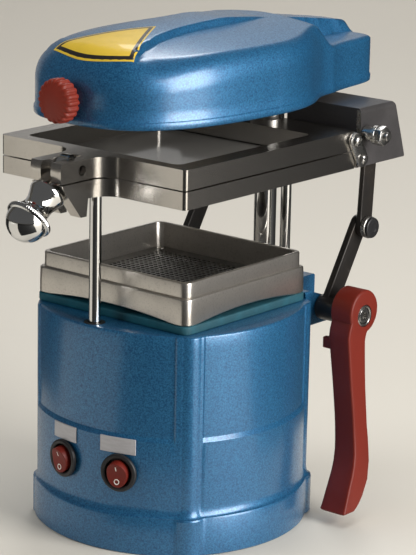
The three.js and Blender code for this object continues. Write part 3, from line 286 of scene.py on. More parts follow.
def skin(rings):
    """A surface through rings of equal length, closed at both ends by a flat face."""
    rings = np.asarray(rings, float)
    made = grid(rings, wrap_v=True)
    total, size = len(made.points), rings.shape[1]
    made.faces += [list(range(size))[::-1], list(range(total - size, total))]
    return made


def level(loop, z):
    """A flat loop of points raised to a height."""
    return np.c_[loop, np.broadcast_to(z, len(loop))]


def around(turn, radius, z):
    """Points round the axis at one height, with one radius or one for each direction."""
    flat = np.c_[radius * np.cos(turn), radius * np.sin(turn)]
    return level(flat, z)


def arc(x, y, wide, tall, start=0, end=90, steps=6):
    """Points of an ellipse round x, y, between two directions in degrees."""
    t = np.radians(np.linspace(start, end, steps + 1))
    return np.c_[x + wide * np.cos(t), y + tall * np.sin(t)]


def rounding(edge, steps=3):
    """Depth and rise of each step of a quarter circle from a wall to the face over it."""
    t = np.linspace(0, math.pi / 2, steps + 1)[1:]
    return zip(edge * (1 - np.cos(t)), edge * np.sin(t))


def together(forms):
    """Separate forms side by side as one."""
    return sum(forms[1:], forms[0])


def fillet(points, radii, steps=6, closed=True):
    """A polygon with round corners. Each corner becomes an arc tangent to its two sides: the
    arc's centre lies on the corner's bisector, and its points turn evenly between the sides."""
    points = np.asarray(points, float)
    radii = np.broadcast_to(np.asarray(radii, float), len(points)).copy()
    radii = np.maximum(radii, 1e-3)[:, None]
    one = np.roll(points, 1, 0) - points
    two = np.roll(points, -1, 0) - points
    if not closed:
        one[0], two[-1] = -two[0], -one[-1]
    one /= np.linalg.norm(one, axis=1, keepdims=True)
    two /= np.linalg.norm(two, axis=1, keepdims=True)
    cosine = np.clip((one * two).sum(1, keepdims=True), -1, 1)
    half = np.arccos(cosine) / 2
    straight = half > math.pi / 2 - 1e-3
    half = np.where(straight, math.pi / 4, half)
    middle = np.where(straight, one[:, ::-1] * (1, -1), one + two)
    middle /= np.linalg.norm(middle, axis=1, keepdims=True)
    centre = points + middle * radii / np.sin(half)
    start = points + one * radii / np.tan(half) - centre
    end = points + two * radii / np.tan(half) - centre
    turn = math.pi - 2 * half
    t = np.linspace(0, 1, steps + 1)[None, :, None]
    turn3 = np.maximum(turn[:, None], 1e-6)
    arcs = (centre[:, None] + (np.sin((1 - t) * turn3) * start[:, None]
            + np.sin(t * turn3) * end[:, None]) / np.sin(turn3))
    arcs = np.where(straight[:, None], points[:, None], arcs)
    if not closed:
        arcs[0], arcs[-1] = points[0], points[-1]
    return arcs.reshape(-1, 2)


def inset(loop, depth):
    """A loop moved inwards: each point goes along the mean of its two sides' normals, far
    enough for both sides to move by the depth."""
    before = loop - np.roll(loop, 1, 0)
    after = np.roll(loop, -1, 0) - loop

    def normal(v):
        size = np.linalg.norm(v, axis=1, keepdims=True)
        return v[:, ::-1] * (-1, 1) / np.maximum(size, 1e-9)

    a, b = normal(before), normal(after)
    return loop + depth * (a + b) / np.maximum(1 + (a * b).sum(1, keepdims=True), 0.2)


def rectangle(x0, y0, x1, y1, radius, steps=6, sides=1):
    """A rectangle with round corners, anticlockwise; its sides have extra points if asked."""
    loop = fillet([(x0, y0), (x1, y0), (x1, y1), (x0, y1)], radius, steps)
    if sides == 1:
        return loop
    loop = loop.reshape(4, -1, 2)
    t = np.linspace(0, 1, sides + 1)[1:-1, None]
    between = [np.vstack([loop[i], loop[i][-1] * (1 - t) + loop[(i + 1) % 4][0] * t])
               for i in range(4)]
    return np.vstack(between)


def slab(loop, low, high, edge=0.0, steps=3):
    """A closed loop carried upwards; near each end it draws in along a quarter circle."""
    if edge <= 0:
        return skin([level(loop, low), level(loop, high)])
    turn = np.linspace(0, math.pi / 2, steps + 1)
    depth, rise = edge * (1 - np.sin(turn)), edge * (1 - np.cos(turn))
    depths = np.concatenate([depth, depth[::-1]])
    heights = np.concatenate([low + rise, high - rise[::-1]])
    return skin([level(inset(loop, d), z) for d, z in zip(depths, heights)])


def lathe(profile, sides=64, ring=False, dents=None, teeth=0, power=1.0):
    """A profile of [radius, height] turned about Z. A ring's profile closes on itself. With
    teeth, each row's radius is cut by its dent times a rounded wave round the axis."""
    profile = np.asarray(profile, float)
    turn = np.arange(sides) * TAU / sides
    radius = np.repeat(profile[:, :1], sides, 1)
    if teeth:
        wave = (0.5 - 0.5 * np.cos(turn * teeth)) ** power
        radius = radius - np.asarray(dents, float)[:, None] * wave
    points = np.stack([radius * np.cos(turn), radius * np.sin(turn),
                       np.repeat(profile[:, 1:], sides, 1)], -1)
    return grid(points, ring, True)


def bar(radius, low, high, edge=0.0, sides=48, bore=0.0):
    """A round bar along Z with chamfered ends, or a tube with a bore."""
    if bore:
        return lathe([(bore + edge, low), (radius - edge, low), (radius, low + edge),
                      (radius, high - edge), (radius - edge, high), (bore + edge, high),
                      (bore, high - edge), (bore, low + edge)], sides, ring=True)
    edge = max(edge, 1e-3)
    return lathe([(0, low), (radius - edge, low), (radius, low + edge),
                  (radius, high - edge), (radius - edge, high), (0, high)], sides)


def thread(radius, low, high, pitch, depth, sides=32):
    """A threaded rod: the radius falls and rises as a rounded saw of height over pitch plus
    the share of a turn, which closes after each turn."""
    rows_a_pitch = 8
    z = np.linspace(low, high, int((high - low) / pitch * rows_a_pitch))[:, None]
    turn = np.arange(sides)[None] * TAU / sides
    wave = 0.5 - 0.5 * np.cos(TAU * (z / pitch) - turn)
    r = radius - depth * wave
    points = np.stack([r * np.cos(turn), r * np.sin(turn), z + 0 * turn], -1)
    ends = [around(turn[0], 0, h)[None] for h in (low, high)]
    return grid(np.concatenate([ends[0], points, ends[1]]), wrap_v=True)


def nut(radius, low, high, turn=0.0):
    """A six-sided nut: its corners are rounded in plan, and a slab's edge rounds its ends."""
    corner_share, end_share = 0.08, 0.09
    corners = around(np.arange(6) * TAU / 6 + turn, radius, 0)[:, :2]
    return slab(fillet(corners, radius * corner_share, 3), low, high, radius * end_share)


def to_side(form, side):
    """A form made along +Z from the axis, laid along X towards the given side."""
    laid = form.sideways()
    return laid if SIDES[side] > 0 else laid.mirrored()


def stadium(start, end, radius, steps=12):
    """The outline of a flat bar with round ends between two points."""
    start, end = np.asarray(start, float), np.asarray(end, float)
    a = math.atan2(*(end - start)[::-1])
    t = np.linspace(-math.pi / 2, math.pi / 2, steps + 1)
    cap = np.c_[np.cos(a + t), np.sin(a + t)] * radius
    return np.vstack([end + cap, start - cap])


def smooth(value, low, high):
    """0 below low, 1 above high, and a smooth step between."""
    t = np.clip((value - low) / (high - low), 0, 1)
    return t * t * (3 - 2 * t)


# Meshes and pieces

def mesh_of(name, form):
    """A mesh in metres, with coincident points merged and its faces pointing outwards."""
    merge, sliver = 2e-6, 1e-6
    mesh = bpy.data.meshes.new(name)
    mesh.from_pydata((form.points * MM).tolist(), [], form.faces)
    edit = bmesh.new()
    edit.from_mesh(mesh)
    bmesh.ops.remove_doubles(edit, verts=edit.verts, dist=merge)
    bmesh.ops.dissolve_degenerate(edit, edges=edit.edges, dist=sliver)
    bmesh.ops.recalc_face_normals(edit, faces=edit.faces)
    edit.to_mesh(mesh)
    edit.free()
    return mesh


def form_of(mesh):
    """The form of a mesh, in millimetres."""
    points = np.zeros(len(mesh.vertices) * 3)
    mesh.vertices.foreach_get("co", points)
    corners = np.zeros(len(mesh.loops), int)
    mesh.loops.foreach_get("vertex_index", corners)
    starts = np.zeros(len(mesh.polygons), int)
    mesh.polygons.foreach_get("loop_start", starts)
    faces = [part.tolist() for part in np.split(corners, starts[1:])]
    return Form(points.reshape(-1, 3) / MM, faces)


def shaped(form, *others, how="DIFFERENCE"):
    """The form cut by, joined to, or limited to each of the others, by exact booleans."""
    scene = bpy.context.scene.collection
    made = bpy.data.objects.new("shaped", mesh_of("shaped", form))
    scene.objects.link(made)
    tools = []
    for other in others:
        tool = bpy.data.objects.new("tool", mesh_of("tool", other))
        scene.objects.link(tool)
        tools.append(tool)
        step = made.modifiers.new("step", "BOOLEAN")
        step.operation, step.object, step.solver = how, tool, "EXACT"
    bpy.context.view_layer.update()
    result = made.evaluated_get(bpy.context.evaluated_depsgraph_get()).to_mesh()
    form = form_of(result)
    for item in [made, *tools]:
        mesh = item.data
        bpy.data.objects.remove(item)
        bpy.data.meshes.remove(mesh)
    if not form.faces:
        raise RuntimeError("a boolean step left nothing")
    return form


def joined(form, *others):
    """The forms fused into one body."""
    return shaped(form, *others, how="UNION")


def common(form, *others):
    """What the forms have in common."""
    return shaped(form, *others, how="INTERSECT")


def piece(name, form, finish, body, replaces=(), edge=0.0, sharp=32):
    """A finished piece: its mesh, smooth shading up to an angle, an optional bevel, its
    material, the body it rides on and the CAD nodes it stands for."""
    mesh = mesh_of(name, form)
    made = bpy.data.objects.new(name, mesh)
    bpy.context.scene.collection.objects.link(made)
    mesh.polygons.foreach_set("use_smooth", np.ones(len(mesh.polygons), bool))
    mesh.set_sharp_from_angle(angle=math.radians(sharp))
    if edge:
        bevel = made.modifiers.new("edge", "BEVEL")
        bevel.width, bevel.segments = edge * MM, 2
        bevel.limit_method, bevel.angle_limit = "ANGLE", math.radians(sharp)
        bevel.harden_normals, bevel.use_clamp_overlap = True, True
    mesh.materials.append(material(finish))
    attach(made, body)
    if replaces:
        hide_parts(*replaces)
    return made


def dress(node, finish):
    """A CAD node keeps its shape and gets a material."""
    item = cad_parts[node]
    item.data.materials.clear()
    item.data.materials.append(material(finish))


# Shader arithmetic

class Wire:
    """One output socket. Arithmetic on wires and numbers adds Math nodes."""

    def __init__(self, shader, socket):
        self.shader, self.socket = shader, socket

    def maths(self, operation, *others):
        values = {0: self, **{i + 1: other for i, other in enumerate(others)}}
        return self.shader.node("Math", {"operation": operation}, values)

    def __add__(self, other):
        return self.maths("ADD", other)

    __radd__ = __add__

    def __mul__(self, other):
        return self.maths("MULTIPLY", other)

    __rmul__ = __mul__

    def __sub__(self, other):
        return self.maths("SUBTRACT", other)

    def __rsub__(self, other):
        return (self * -1) + other

    def __truediv__(self, other):
        return self.maths("DIVIDE", other)

    def above(self, limit):
        return self.maths("GREATER_THAN", limit)

    def below(self, limit):
        return self.maths("LESS_THAN", limit)

    def size(self):
        return self.maths("ABSOLUTE")

    def rise(self, low, high):
        """0 at low, 1 at high, smoothly between."""
        return self.shader.node("MapRange", {"interpolation_type": "SMOOTHSTEP"}, {
            "Value": self, "From Min": low, "From Max": high, "To Min": 0.0, "To Max": 1.0})


class Shader:
    """A material's node tree, with one method that adds any node."""

    def __init__(self, name):
        self.material = bpy.data.materials.new(name)
        self.material.use_nodes = True
        self.tree = self.material.node_tree
        self.main = self.tree.nodes["Principled BSDF"]

    def node(self, kind, settings=(), values=(), out=0):
        """Adds a node: its settings first, then the values or links of its sockets."""
        made = self.tree.nodes.new("ShaderNode" + kind)
        for key, value in dict(settings).items():
            setattr(made, key, value)
        for key, value in dict(values).items():
            self.put(made.inputs[key], value)
        return Wire(self, made.outputs[out])

    def put(self, socket, value):
        """A link, or a plain value, on a socket."""
        if isinstance(value, Wire):
            self.tree.links.new(value.socket, socket)
        elif socket.type == "RGBA":
            socket.default_value = (*value, 1)
        else:
            socket.default_value = value

    def place(self):
        """Object coordinates, in metres."""
        return self.node("TexCoord", out="Object")

    def noise(self, size, detail=3, rough=0.55, stretch=(1, 1, 1)):
        """Noise whose features are about the given size in millimetres."""
        feature_share = 0.55
        where = self.node("Mapping", {}, {"Vector": self.place(), "Scale": stretch})
        return self.node("TexNoise", {"noise_type": "FBM"}, {
            "Vector": where, "Scale": feature_share / (size * MM), "Detail": detail,
            "Roughness": rough})

    def cells(self, size):
        """Distance to the nearest of scattered points about a size apart."""
        return self.node("TexVoronoi", {"feature": "F1"}, {
            "Vector": self.place(), "Scale": 1 / (size * MM), "Randomness": 1.0})

    def parts(self, vector):
        """X, Y and Z of a vector, each as a wire."""
        split = self.node("SeparateXYZ", {}, {0: vector}).socket.node
        return [Wire(self, split.outputs[i]) for i in range(3)]

    def mix(self, amount, one, two):
        """One colour towards another by an amount."""
        made = self.tree.nodes.new("ShaderNodeMix")
        made.data_type = "RGBA"
        amount_in, colours_in, colour_out = 0, (6, 7), 2
        self.put(made.inputs[amount_in], amount)
        for place, tone in zip(colours_in, (one, two)):
            self.put(made.inputs[place], tone)
        return Wire(self, made.outputs[colour_out])

    def bump(self, height, depth, strength=1.0):
        """A normal from a height between 0 and 1 and a depth in millimetres."""
        return self.node("Bump", {}, {
            "Height": height, "Distance": depth * MM, "Strength": strength})

    def set(self, **values):
        """Sets the shader's sockets; _ in a name stands for a space."""
        for key, value in values.items():
            self.put(self.main.inputs[key.replace("_", " ")], value)
        return self.material


MATERIALS = {}


def material(name):
    """The material of that name, made once."""
    if name not in MATERIALS:
        MATERIALS[name] = FINISHES[name](Shader(name))
    return MATERIALS[name]


def times(tone, part):
    """A colour with each channel times a part."""
    return [channel * part for channel in tone]


def hammered_paint(s):
    """Hammered blue enamel: a fine uneven mottle of two blues under a satin clear coat."""
    f = Sizes("finish")
    cells = s.cells(f.paint_grain)
    fine = s.noise(f.paint_grain * 0.7, 4, 0.7)
    broad = s.noise(45, 3, 0.6)
    fleck = (cells * 0.45 + fine * 1.1 - 0.35).rise(0.05, 0.75)
    tone = s.mix(fleck, f.paint_light, f.paint_dark)
    tone = s.mix(broad.rise(0.4, 0.75) * 0.22, tone, f.paint_dark)
    return s.set(
        Base_Color=tone, Metallic=0.5, Roughness=fleck * 0.1 + 0.40,
        Coat_Weight=1.0, Coat_Roughness=0.22, Coat_IOR=1.5,
        Normal=s.bump(1 - fleck, 0.05, 0.6))


def cast_metal(s):
    """Ground light alloy: faint grinding lines, pores and stains and a soft sheen."""
    f = Sizes("finish")
    lines = s.noise(0.5, 2, 0.5, (0.15, 1, 1))
    stain = s.noise(22, 4, 0.6)
    speck = s.noise(0.9, 3, 0.65)
    tone = s.mix(stain.rise(0.42, 0.72) * 0.3, f.metal, times(f.metal, 0.72))
    tone = s.mix(speck.rise(0.52, 0.7) * 0.35, tone, times(f.metal, 0.55))
    return s.set(
        Base_Color=tone, Metallic=1.0, Roughness=stain * 0.06 + lines * 0.05 + 0.17,
        Normal=s.bump(speck, 0.006, 0.3))


def tray_metal(s):
    """The tray's casting: a little greyer and rougher than the frames."""
    f = Sizes("finish")
    grain = s.noise(0.7, 3, 0.65)
    stain = s.noise(16, 4, 0.6)
    tone = s.mix(stain.rise(0.4, 0.72) * 0.35, times(f.metal, 1.15), times(f.metal, 0.8))
    tone = s.mix(grain.rise(0.5, 0.7) * 0.3, tone, times(f.metal, 0.5))
    return s.set(
        Base_Color=tone, Metallic=1.0, Roughness=stain * 0.07 + grain * 0.05 + 0.27,
        Normal=s.bump(grain, 0.004, 0.2))


def plate_steel(s):
    """The dark perforated plate, brighter where it is rubbed."""
    rub = s.noise(5, 4, 0.65)
    grain = s.noise(0.6, 3, 0.6)
    return s.set(
        Base_Color=s.mix(rub.rise(0.45, 0.7) * 0.5, (0.10, 0.097, 0.09), (0.22, 0.21, 0.195)),
        Metallic=1.0, Roughness=grain * 0.12 + 0.3, Normal=s.bump(grain, 0.01, 0.3))


def knob_plastic(s):
    """The heater knob's brighter red."""
    return moulded_plastic(s, (0.185, 0.022, 0.012))


def chrome_plate(s):
    """Bright plating with the faintest ripple and wiping marks."""
    f = Sizes("finish")
    smear = s.noise(9, 4, 0.6)
    return s.set(
        Base_Color=s.mix(smear.rise(0.45, 0.75) * 0.2, f.chrome, times(f.chrome, 0.8)),
        Metallic=1.0, Roughness=smear * 0.07 + 0.035, Normal=s.bump(smear, 0.02, 0.12))


def plain_steel(s):
    """Turned steel: fine lines round the parts and dulled patches."""
    f = Sizes("finish")
    stain = s.noise(6, 4, 0.65)
    lines = s.noise(0.5, 2, 0.5)
    return s.set(
        Base_Color=s.mix(stain.rise(0.42, 0.75) * 0.45, f.steel, times(f.steel, 0.5)),
        Metallic=1.0, Roughness=stain * 0.16 + lines * 0.06 + 0.17,
        Normal=s.bump(lines, 0.01, 0.4))


def black_steel(s):
    """Blackened steel, worn a little brown and brighter in scattered spots."""
    f = Sizes("finish")
    wear = s.noise(3.2, 5, 0.7)
    patch = s.noise(14, 3, 0.6)
    tone = s.mix(patch.rise(0.45, 0.7) * 0.5, f.black_steel, (0.06, 0.048, 0.038))
    tone = s.mix(wear.rise(0.62, 0.72) * 0.5, tone, (0.22, 0.20, 0.18))
    return s.set(
        Base_Color=tone, Metallic=0.6, Roughness=wear * 0.2 + 0.28,
        Normal=s.bump(wear, 0.03, 0.35))


def cover_paint(s):
    """Dark satin enamel on the folded cover, with bare metal on its sheared front edges: where
    a face looks forward and lies within a sheet of the sides, below the top."""
    f = Sizes("finish")
    side, _, top = span("rear_cover")[1]
    edge_wide, top_off, forward = 3.4, 1.2, -0.6
    x, _, z = (part / MM for part in s.parts(s.place()))
    grain = s.noise(0.9, 3, 0.6)
    smear = s.noise(25, 3, 0.6)
    tone = s.mix(smear.rise(0.4, 0.7) * 0.5, f.cover, times(f.cover, 1.8))
    tone = s.mix(grain.rise(0.5, 0.75) * 0.25, tone, times(f.cover, 0.4))
    facing = s.node("NewGeometry", out="True Normal")
    front = s.parts(facing)[1].below(forward)
    bare = front * (x.size().above(side - edge_wide)) * z.below(top - top_off)
    return s.set(
        Base_Color=s.mix(bare, tone, (0.62, 0.60, 0.57)), Metallic=bare * 0.65 + 0.3,
        Roughness=0.36 + grain * 0.12 - bare * 0.14, Coat_Weight=0.12,
        Normal=s.bump(grain, 0.02, 0.4))


def moulded_plastic(s, tone):
    """Moulded plastic: a matt grain, slight flow streaks and a dull shine."""
    streak = s.noise(18, 3, 0.6, (1, 1, 0.3))
    grain = s.noise(0.6, 3, 0.6)
    mixed = s.mix(streak.rise(0.35, 0.75) * 0.45, tone, times(tone, 0.62))
    mixed = s.mix(grain.rise(0.5, 0.8) * 0.3, mixed, times(tone, 1.45))
    return s.set(
        Base_Color=mixed, Roughness=grain * 0.15 + streak * 0.1 + 0.33,
        Specular_IOR_Level=0.3, Normal=s.bump(grain, 0.035, 0.4))


def red_plastic(s):
    """The lever's red."""
    return moulded_plastic(s, Sizes("finish").red)


def rocker_plastic(s):
    """The rockers' red."""
    return moulded_plastic(s, Sizes("finish").rocker)


def black_plastic(s):
    """Moulded black plastic with a fine spark-eroded grain."""
    f = Sizes("finish")
    grain = s.noise(0.5, 3, 0.6)
    return s.set(
        Base_Color=s.mix(grain.rise(0.4, 0.8) * 0.5, f.black, times(f.black, 2.4)),
        Roughness=grain * 0.2 + 0.35, Normal=s.bump(grain, 0.03, 0.4))


def teal_rubber(s):
    """Dyed rubber sheet: matt, slightly mottled, with dust in its grain."""
    f = Sizes("finish")
    mottle = s.noise(5, 4, 0.6)
    grain = s.noise(0.5, 3, 0.6)
    tone = s.mix(mottle.rise(0.4, 0.7) * 0.5, f.teal, times(f.teal, 1.7))
    return s.set(
        Base_Color=s.mix(grain.rise(0.6, 0.8) * 0.12, tone, (0.25, 0.3, 0.3)),
        Roughness=grain * 0.15 + 0.6, Normal=s.bump(grain, 0.04, 0.5))


def foot_rubber(s):
    """Black foot rubber."""
    grain = s.noise(0.7, 3, 0.6)
    return s.set(
        Base_Color=s.mix(grain.rise(0.4, 0.8), (0.012, 0.012, 0.012), (0.035, 0.034, 0.033)),
        Roughness=grain * 0.1 + 0.8, Normal=s.bump(grain, 0.05, 0.5))


def label_plate(s):
    """Silvered plastic film with a faint brushed grain."""
    f = Sizes("finish")
    brush = s.noise(0.8, 2, 0.5, (0.08, 1, 1))
    return s.set(
        Base_Color=s.mix(brush.rise(0.35, 0.75) * 0.5, f.label, times(f.label, 0.8)),
        Metallic=0.25, Roughness=brush * 0.1 + 0.32, Normal=s.bump(brush, 0.01, 0.3))


def forming_film(s):
    """A milky thermoplastic sheet: pale, glossy, and a little uneven."""
    ripple = s.noise(30, 2, 0.5)
    fine = s.noise(2, 3, 0.6)
    return s.set(
        Base_Color=s.mix(ripple.rise(0.3, 0.7) * 0.5, (0.30, 0.29, 0.27), (0.24, 0.235, 0.22)),
        Roughness=fine * 0.05 + 0.10, Coat_Weight=0.4, Coat_Roughness=0.05,
        Normal=s.bump(ripple, 0.05, 0.15))


def ceramic(s):
    """Fired ceramic of the heating element, browned in patches."""
    grain = s.noise(1.2, 4, 0.65)
    scorch = s.noise(14, 3, 0.6)
    tone = s.mix(scorch.rise(0.4, 0.7) * 0.6, (0.62, 0.57, 0.48), (0.38, 0.29, 0.2))
    return s.set(
        Base_Color=tone, Roughness=grain * 0.15 + 0.72, Normal=s.bump(grain, 0.08, 0.5))


def bronze(s):
    """Oiled bearing bronze."""
    stain = s.noise(4, 4, 0.65)
    return s.set(
        Base_Color=s.mix(stain.rise(0.4, 0.7) * 0.5, (0.45, 0.29, 0.12), (0.24, 0.15, 0.07)),
        Metallic=1.0, Roughness=stain * 0.2 + 0.25, Normal=s.bump(stain, 0.02, 0.3))


def mark_paint(s):
    """Pale filled marks on the rockers."""
    grain = s.noise(0.5, 3, 0.6)
    return s.set(
        Base_Color=s.mix(grain, (0.75, 0.72, 0.68), (0.6, 0.56, 0.52)), Roughness=0.5,
        Normal=s.bump(grain, 0.02, 0.3))


def sticker_film(s):
    """Yellow film with a dark border: the border is a band of the edge attribute, which is
    the distance to the triangle's nearest side in millimetres."""
    f = Sizes("finish")
    band_start, band_end = (0.9, 1.05), (2.9, 3.1)
    edge = s.node("Attribute", {"attribute_name": "edge", "attribute_type": "GEOMETRY"}, out="Fac")
    fade = s.noise(6, 3, 0.6)
    yellow = s.mix(fade.rise(0.4, 0.75) * 0.35, f.sticker, times(f.sticker, 0.72))
    dark = edge.rise(*band_start) * (1 - edge.rise(*band_end))
    return s.set(
        Base_Color=s.mix(dark, yellow, (0.015, 0.013, 0.012)), Roughness=fade * 0.1 + 0.38,
        Coat_Weight=0.2, Normal=s.bump(fade, 0.02, 0.2))


def inner_steel(s):
    """Zinc-plated sheet inside the head."""
    flake = s.cells(7)
    fine = s.noise(0.8, 3, 0.6)
    return s.set(
        Base_Color=s.mix(flake.rise(0.2, 0.8), (0.42, 0.42, 0.40), (0.30, 0.30, 0.29)),
        Metallic=0.95, Roughness=flake * 0.12 + 0.26, Normal=s.bump(fine, 0.015, 0.3))


FINISHES = {finish.__name__: finish for finish in (
    hammered_paint, cast_metal, tray_metal, plate_steel, chrome_plate, plain_steel, black_steel,
    cover_paint, red_plastic, rocker_plastic, knob_plastic, black_plastic, teal_rubber,
    foot_rubber, label_plate, forming_film, ceramic, bronze, mark_paint, sticker_film,
    inner_steel)}


# Motor base

SWITCHES = {"left": -15.0, "right": 27.0}    # X of each switch
SWITCH_Z = 50


def bulge(middle, end):
    """Radius of the arc of a side, from how far its middle and its end are from the axis."""
    rise = middle - end
    return (end ** 2 + rise ** 2) / (2 * rise)


def base_reach(turn, out=0.0, column_out=0.0, columns=True):
    """How far the base's outline is from the axis in each direction: the nearest of three
    arcs and the flat rear, and where a corner column stands further out, the column, blended
    in by a rounded maximum."""
    b = Sizes("base")
    least_rear, far, blend = 0.05, 1e3, 0.3
    middle, corner = b.middle + out, b.corner + out / 3
    radius = bulge(middle, corner)
    away = radius - middle
    c, s = np.cos(turn), np.sin(turn)

    def to_circle(x, y, r):
        """How far along each direction a circle's centre lies, and the square under the root
        of the way from there to the circle."""
        along = c * x + s * y
        return along, along ** 2 + r ** 2 - x ** 2 - y ** 2

    reach = np.where(s > least_rear, corner / np.maximum(s, least_rear), far)
    for x, y in ((b.shift / 2, away), (away + b.shift, 0), (b.shift / 3 - away, 0)):
        along, square = to_circle(x, y, radius)
        reach = np.minimum(reach, along + np.sqrt(np.maximum(square, 0)))
    if columns:
        for sx, sy in CORNERS:
            along, square = to_circle(b.shift + sx * b.column_x, sy * b.column_y,
                                      b.column + column_out)
            meets = (square > 0) & (along > 0)
            post = np.where(meets, along + np.sqrt(np.maximum(square, 0)), 0)
            reach = (reach + post + np.sqrt((reach - post) ** 2 + blend)) / 2
    return reach


def base_turns():
    """Directions round the base, closer together about the columns' sides."""
    step, close_step, close_half = 0.75, 0.15, 9
    even = np.arange(0, 360, step)
    close = (np.arange(4) * 90 + 45)[:, None] + np.arange(-close_half, close_half, close_step)[None]
    return np.radians(np.unique(np.round(np.concatenate([even, close.ravel() % 360]), 3)))


def bent(form, x):
    """A form made along +Z moved to a switch's place, facing out of the band."""
    b = Sizes("base")
    radius = bulge(b.middle, b.corner)
    drop = radius - math.sqrt(radius ** 2 - x ** 2)
    turn = math.degrees(math.asin(x / radius))
    facing = form.turned("X", 90).turned("Z", turn)
    return facing.at(x, drop - b.middle - b.band_out, SWITCH_Z)


def base_shell():
    """The casting: rings from the plinth up its outside, over the deck, down the suction bore
    and back along the inside, closed on themselves."""
    b = Sizes("base")
    top = span("base_housing")[1][2]
    turn = base_turns()
    plinth = b.band_out + b.plinth_out
    foot_column, lip_column, band_column, cove_column = 4.2, 4.1, 1.1, 2.8
    foot_edge, lip_drop, lip_rise, lip_in, cove_step = 0.8, 1.2, 0.3, 0.35, 0.5
    strip_flat, strip_end = 5.5, 6.1
    places = [math.atan2(sy * b.column_y, b.shift + sx * b.column_x) for sx, sy in CORNERS]
    apart = np.abs((turn[:, None] - np.array(places) + math.pi) % TAU - math.pi).min(1)
    strip = 1 - smooth(np.degrees(apart), strip_flat, strip_end)
    proud = base_reach(turn) + b.proud

    def ring(z, out, grow=0.0, columns=True, column_out=0.0):
        """The outline at a height; up to the band, a strip beside each column stands proud."""
        reach = base_reach(turn, out, column_out, columns)
        if columns and out <= b.band_out:
            reach = reach * (1 - strip) + proud * strip
        return around(turn, reach + grow, z)

    rings = [ring(0.0, plinth, -foot_edge, column_out=foot_column),
             ring(foot_edge, plinth, 0, column_out=foot_column),
             ring(b.plinth_top - lip_drop, plinth, 0, column_out=foot_column),
             ring(b.plinth_top - lip_rise, plinth, -lip_in, column_out=lip_column)]
    for t in np.linspace(0, math.pi / 2, 7):
        part = 1 - math.sin(t)
        step = b.plinth_out * part - (cove_step if t == 0 else 0)
        z = b.plinth_top + (b.band_low - b.plinth_top) * (1 - math.cos(t))
        rings.append(ring(z, b.band_out + step, column_out=band_column + cove_column * part))
    rings += [ring(z, b.band_out, column_out=band_column)
              for z in (b.band_low + 4, b.band_top - 8, b.band_top)]
    panel, edge_low = b.band_top + b.band_rise, top - b.edge
    rings += [ring(z, 0) for z in (panel, panel + 6, edge_low - 8, edge_low)]
    rings += [ring(edge_low + rise, 0, -depth) for depth, rise in rounding(b.edge)]
    rim = rings[-1]
    hole = around(turn, b.bore, top)
    rings += [rim * (1 - t) + hole * t for t in np.linspace(0, 1, 7)[1:-1]]
    under = top - b.wall
    inside = ring(under, 0, -b.wall, False)
    rings += [hole * (1.02, 1.02, 1), hole - (0, 0, 0.4), hole - (0, 0, b.wall)]
    rings.append((inside + hole - (0, 0, b.wall)) / 2 * (1, 1, 0) + (0, 0, under))
    rings += [inside, ring(b.band_low, 0, -b.wall, False), ring(0.6, 0, -b.wall, False),
              ring(0.0, 0, -b.wall + 0.6, False)]
    return grid(np.array(rings), True, True)


def mains_inlet():
    """The mains inlet: a flange on the wall, a body with a well whose upper corners are
    cut off, and three flat pins."""
    low, high = span("power_inlet")
    flange_thick, body_deep, body_in, well_in, pins_in = 2.5, 19.3, 2.4, 1.5, 7

    def rearward(form, depth):
        return form.turned("X", 90).at(0, high[1] - depth, 0)

    flange = slab(rectangle(low[0], low[2], high[0], high[2], 3), 0, flange_thick, 0.6)
    body = slab(rectangle(-37.5, 35.2, -10.5, 54.8, 1), 0, body_deep)
    well = slab(fillet([(-34.5, 37.7), (-13.5, 37.7), (-13.5, 48), (-17.5, 52.3),
                        (-30.5, 52.3), (-34.5, 48)], 1.2), -2, 18)
    made = joined(rearward(flange, 0), rearward(body, body_in))
    piece("mains_inlet", shaped(made, rearward(well, well_in)), "black_plastic", "base",
          ["power_inlet"], edge=0.3)
    half, tall, long = 1, 2, 12
    pins = [slab(rectangle(x - half, z - tall, x + half, z + tall, 0.5, 3), 0, long, 0.4)
            for x, z in ((-32, 43), (-24, 47), (-16, 43))]
    piece("mains_inlet_pins", rearward(together(pins), pins_in), "chrome_plate", "base")


class FORMER_OT_base(bpy.types.Operator):
    """Builds the painted motor base with its holes and vents, and the mains inlet"""
    bl_idname = "former.base"
    bl_label = "Motor base"

    def execute(self, context):
        b = Sizes("base")
        top = span("base_housing")[1][2]
        bush_bottom = span("front_rod_bush")[0][2]
        bush_room, switch_room, under, over = 6.6, 9.9, 0.3, 2
        holes = [bar(bush_room, bush_bottom - under, top + over).at(0, centre("front_rod_bush")[1])]
        holes += [bent(bar(switch_room, -17, 9.5), x) for x in SWITCHES.values()]
        holes.append(slab(rectangle(-38, 50, -10, 66, 1.5), 34.7, 55.3))
        vent_low, vent_high, vent_half, vent_out, vent_in = 81.5, 102.5, 1.5, 3, 6
        places = [(i - (b.vents - 1) / 2) * b.vent_pitch for i in range(b.vents)]
        vents = [slab(stadium((x, vent_low), (x, vent_high), vent_half),
                      -b.corner - vent_out, -b.corner + vent_in) for x in places]
        shell = shaped(base_shell(), *holes, together(vents).turned("X", 90))
        piece("base_shell", shell, "hammered_paint", "base",
              ["base_housing"], sharp=24)
        mains_inlet()
        return {"FINISHED"}


# Tray

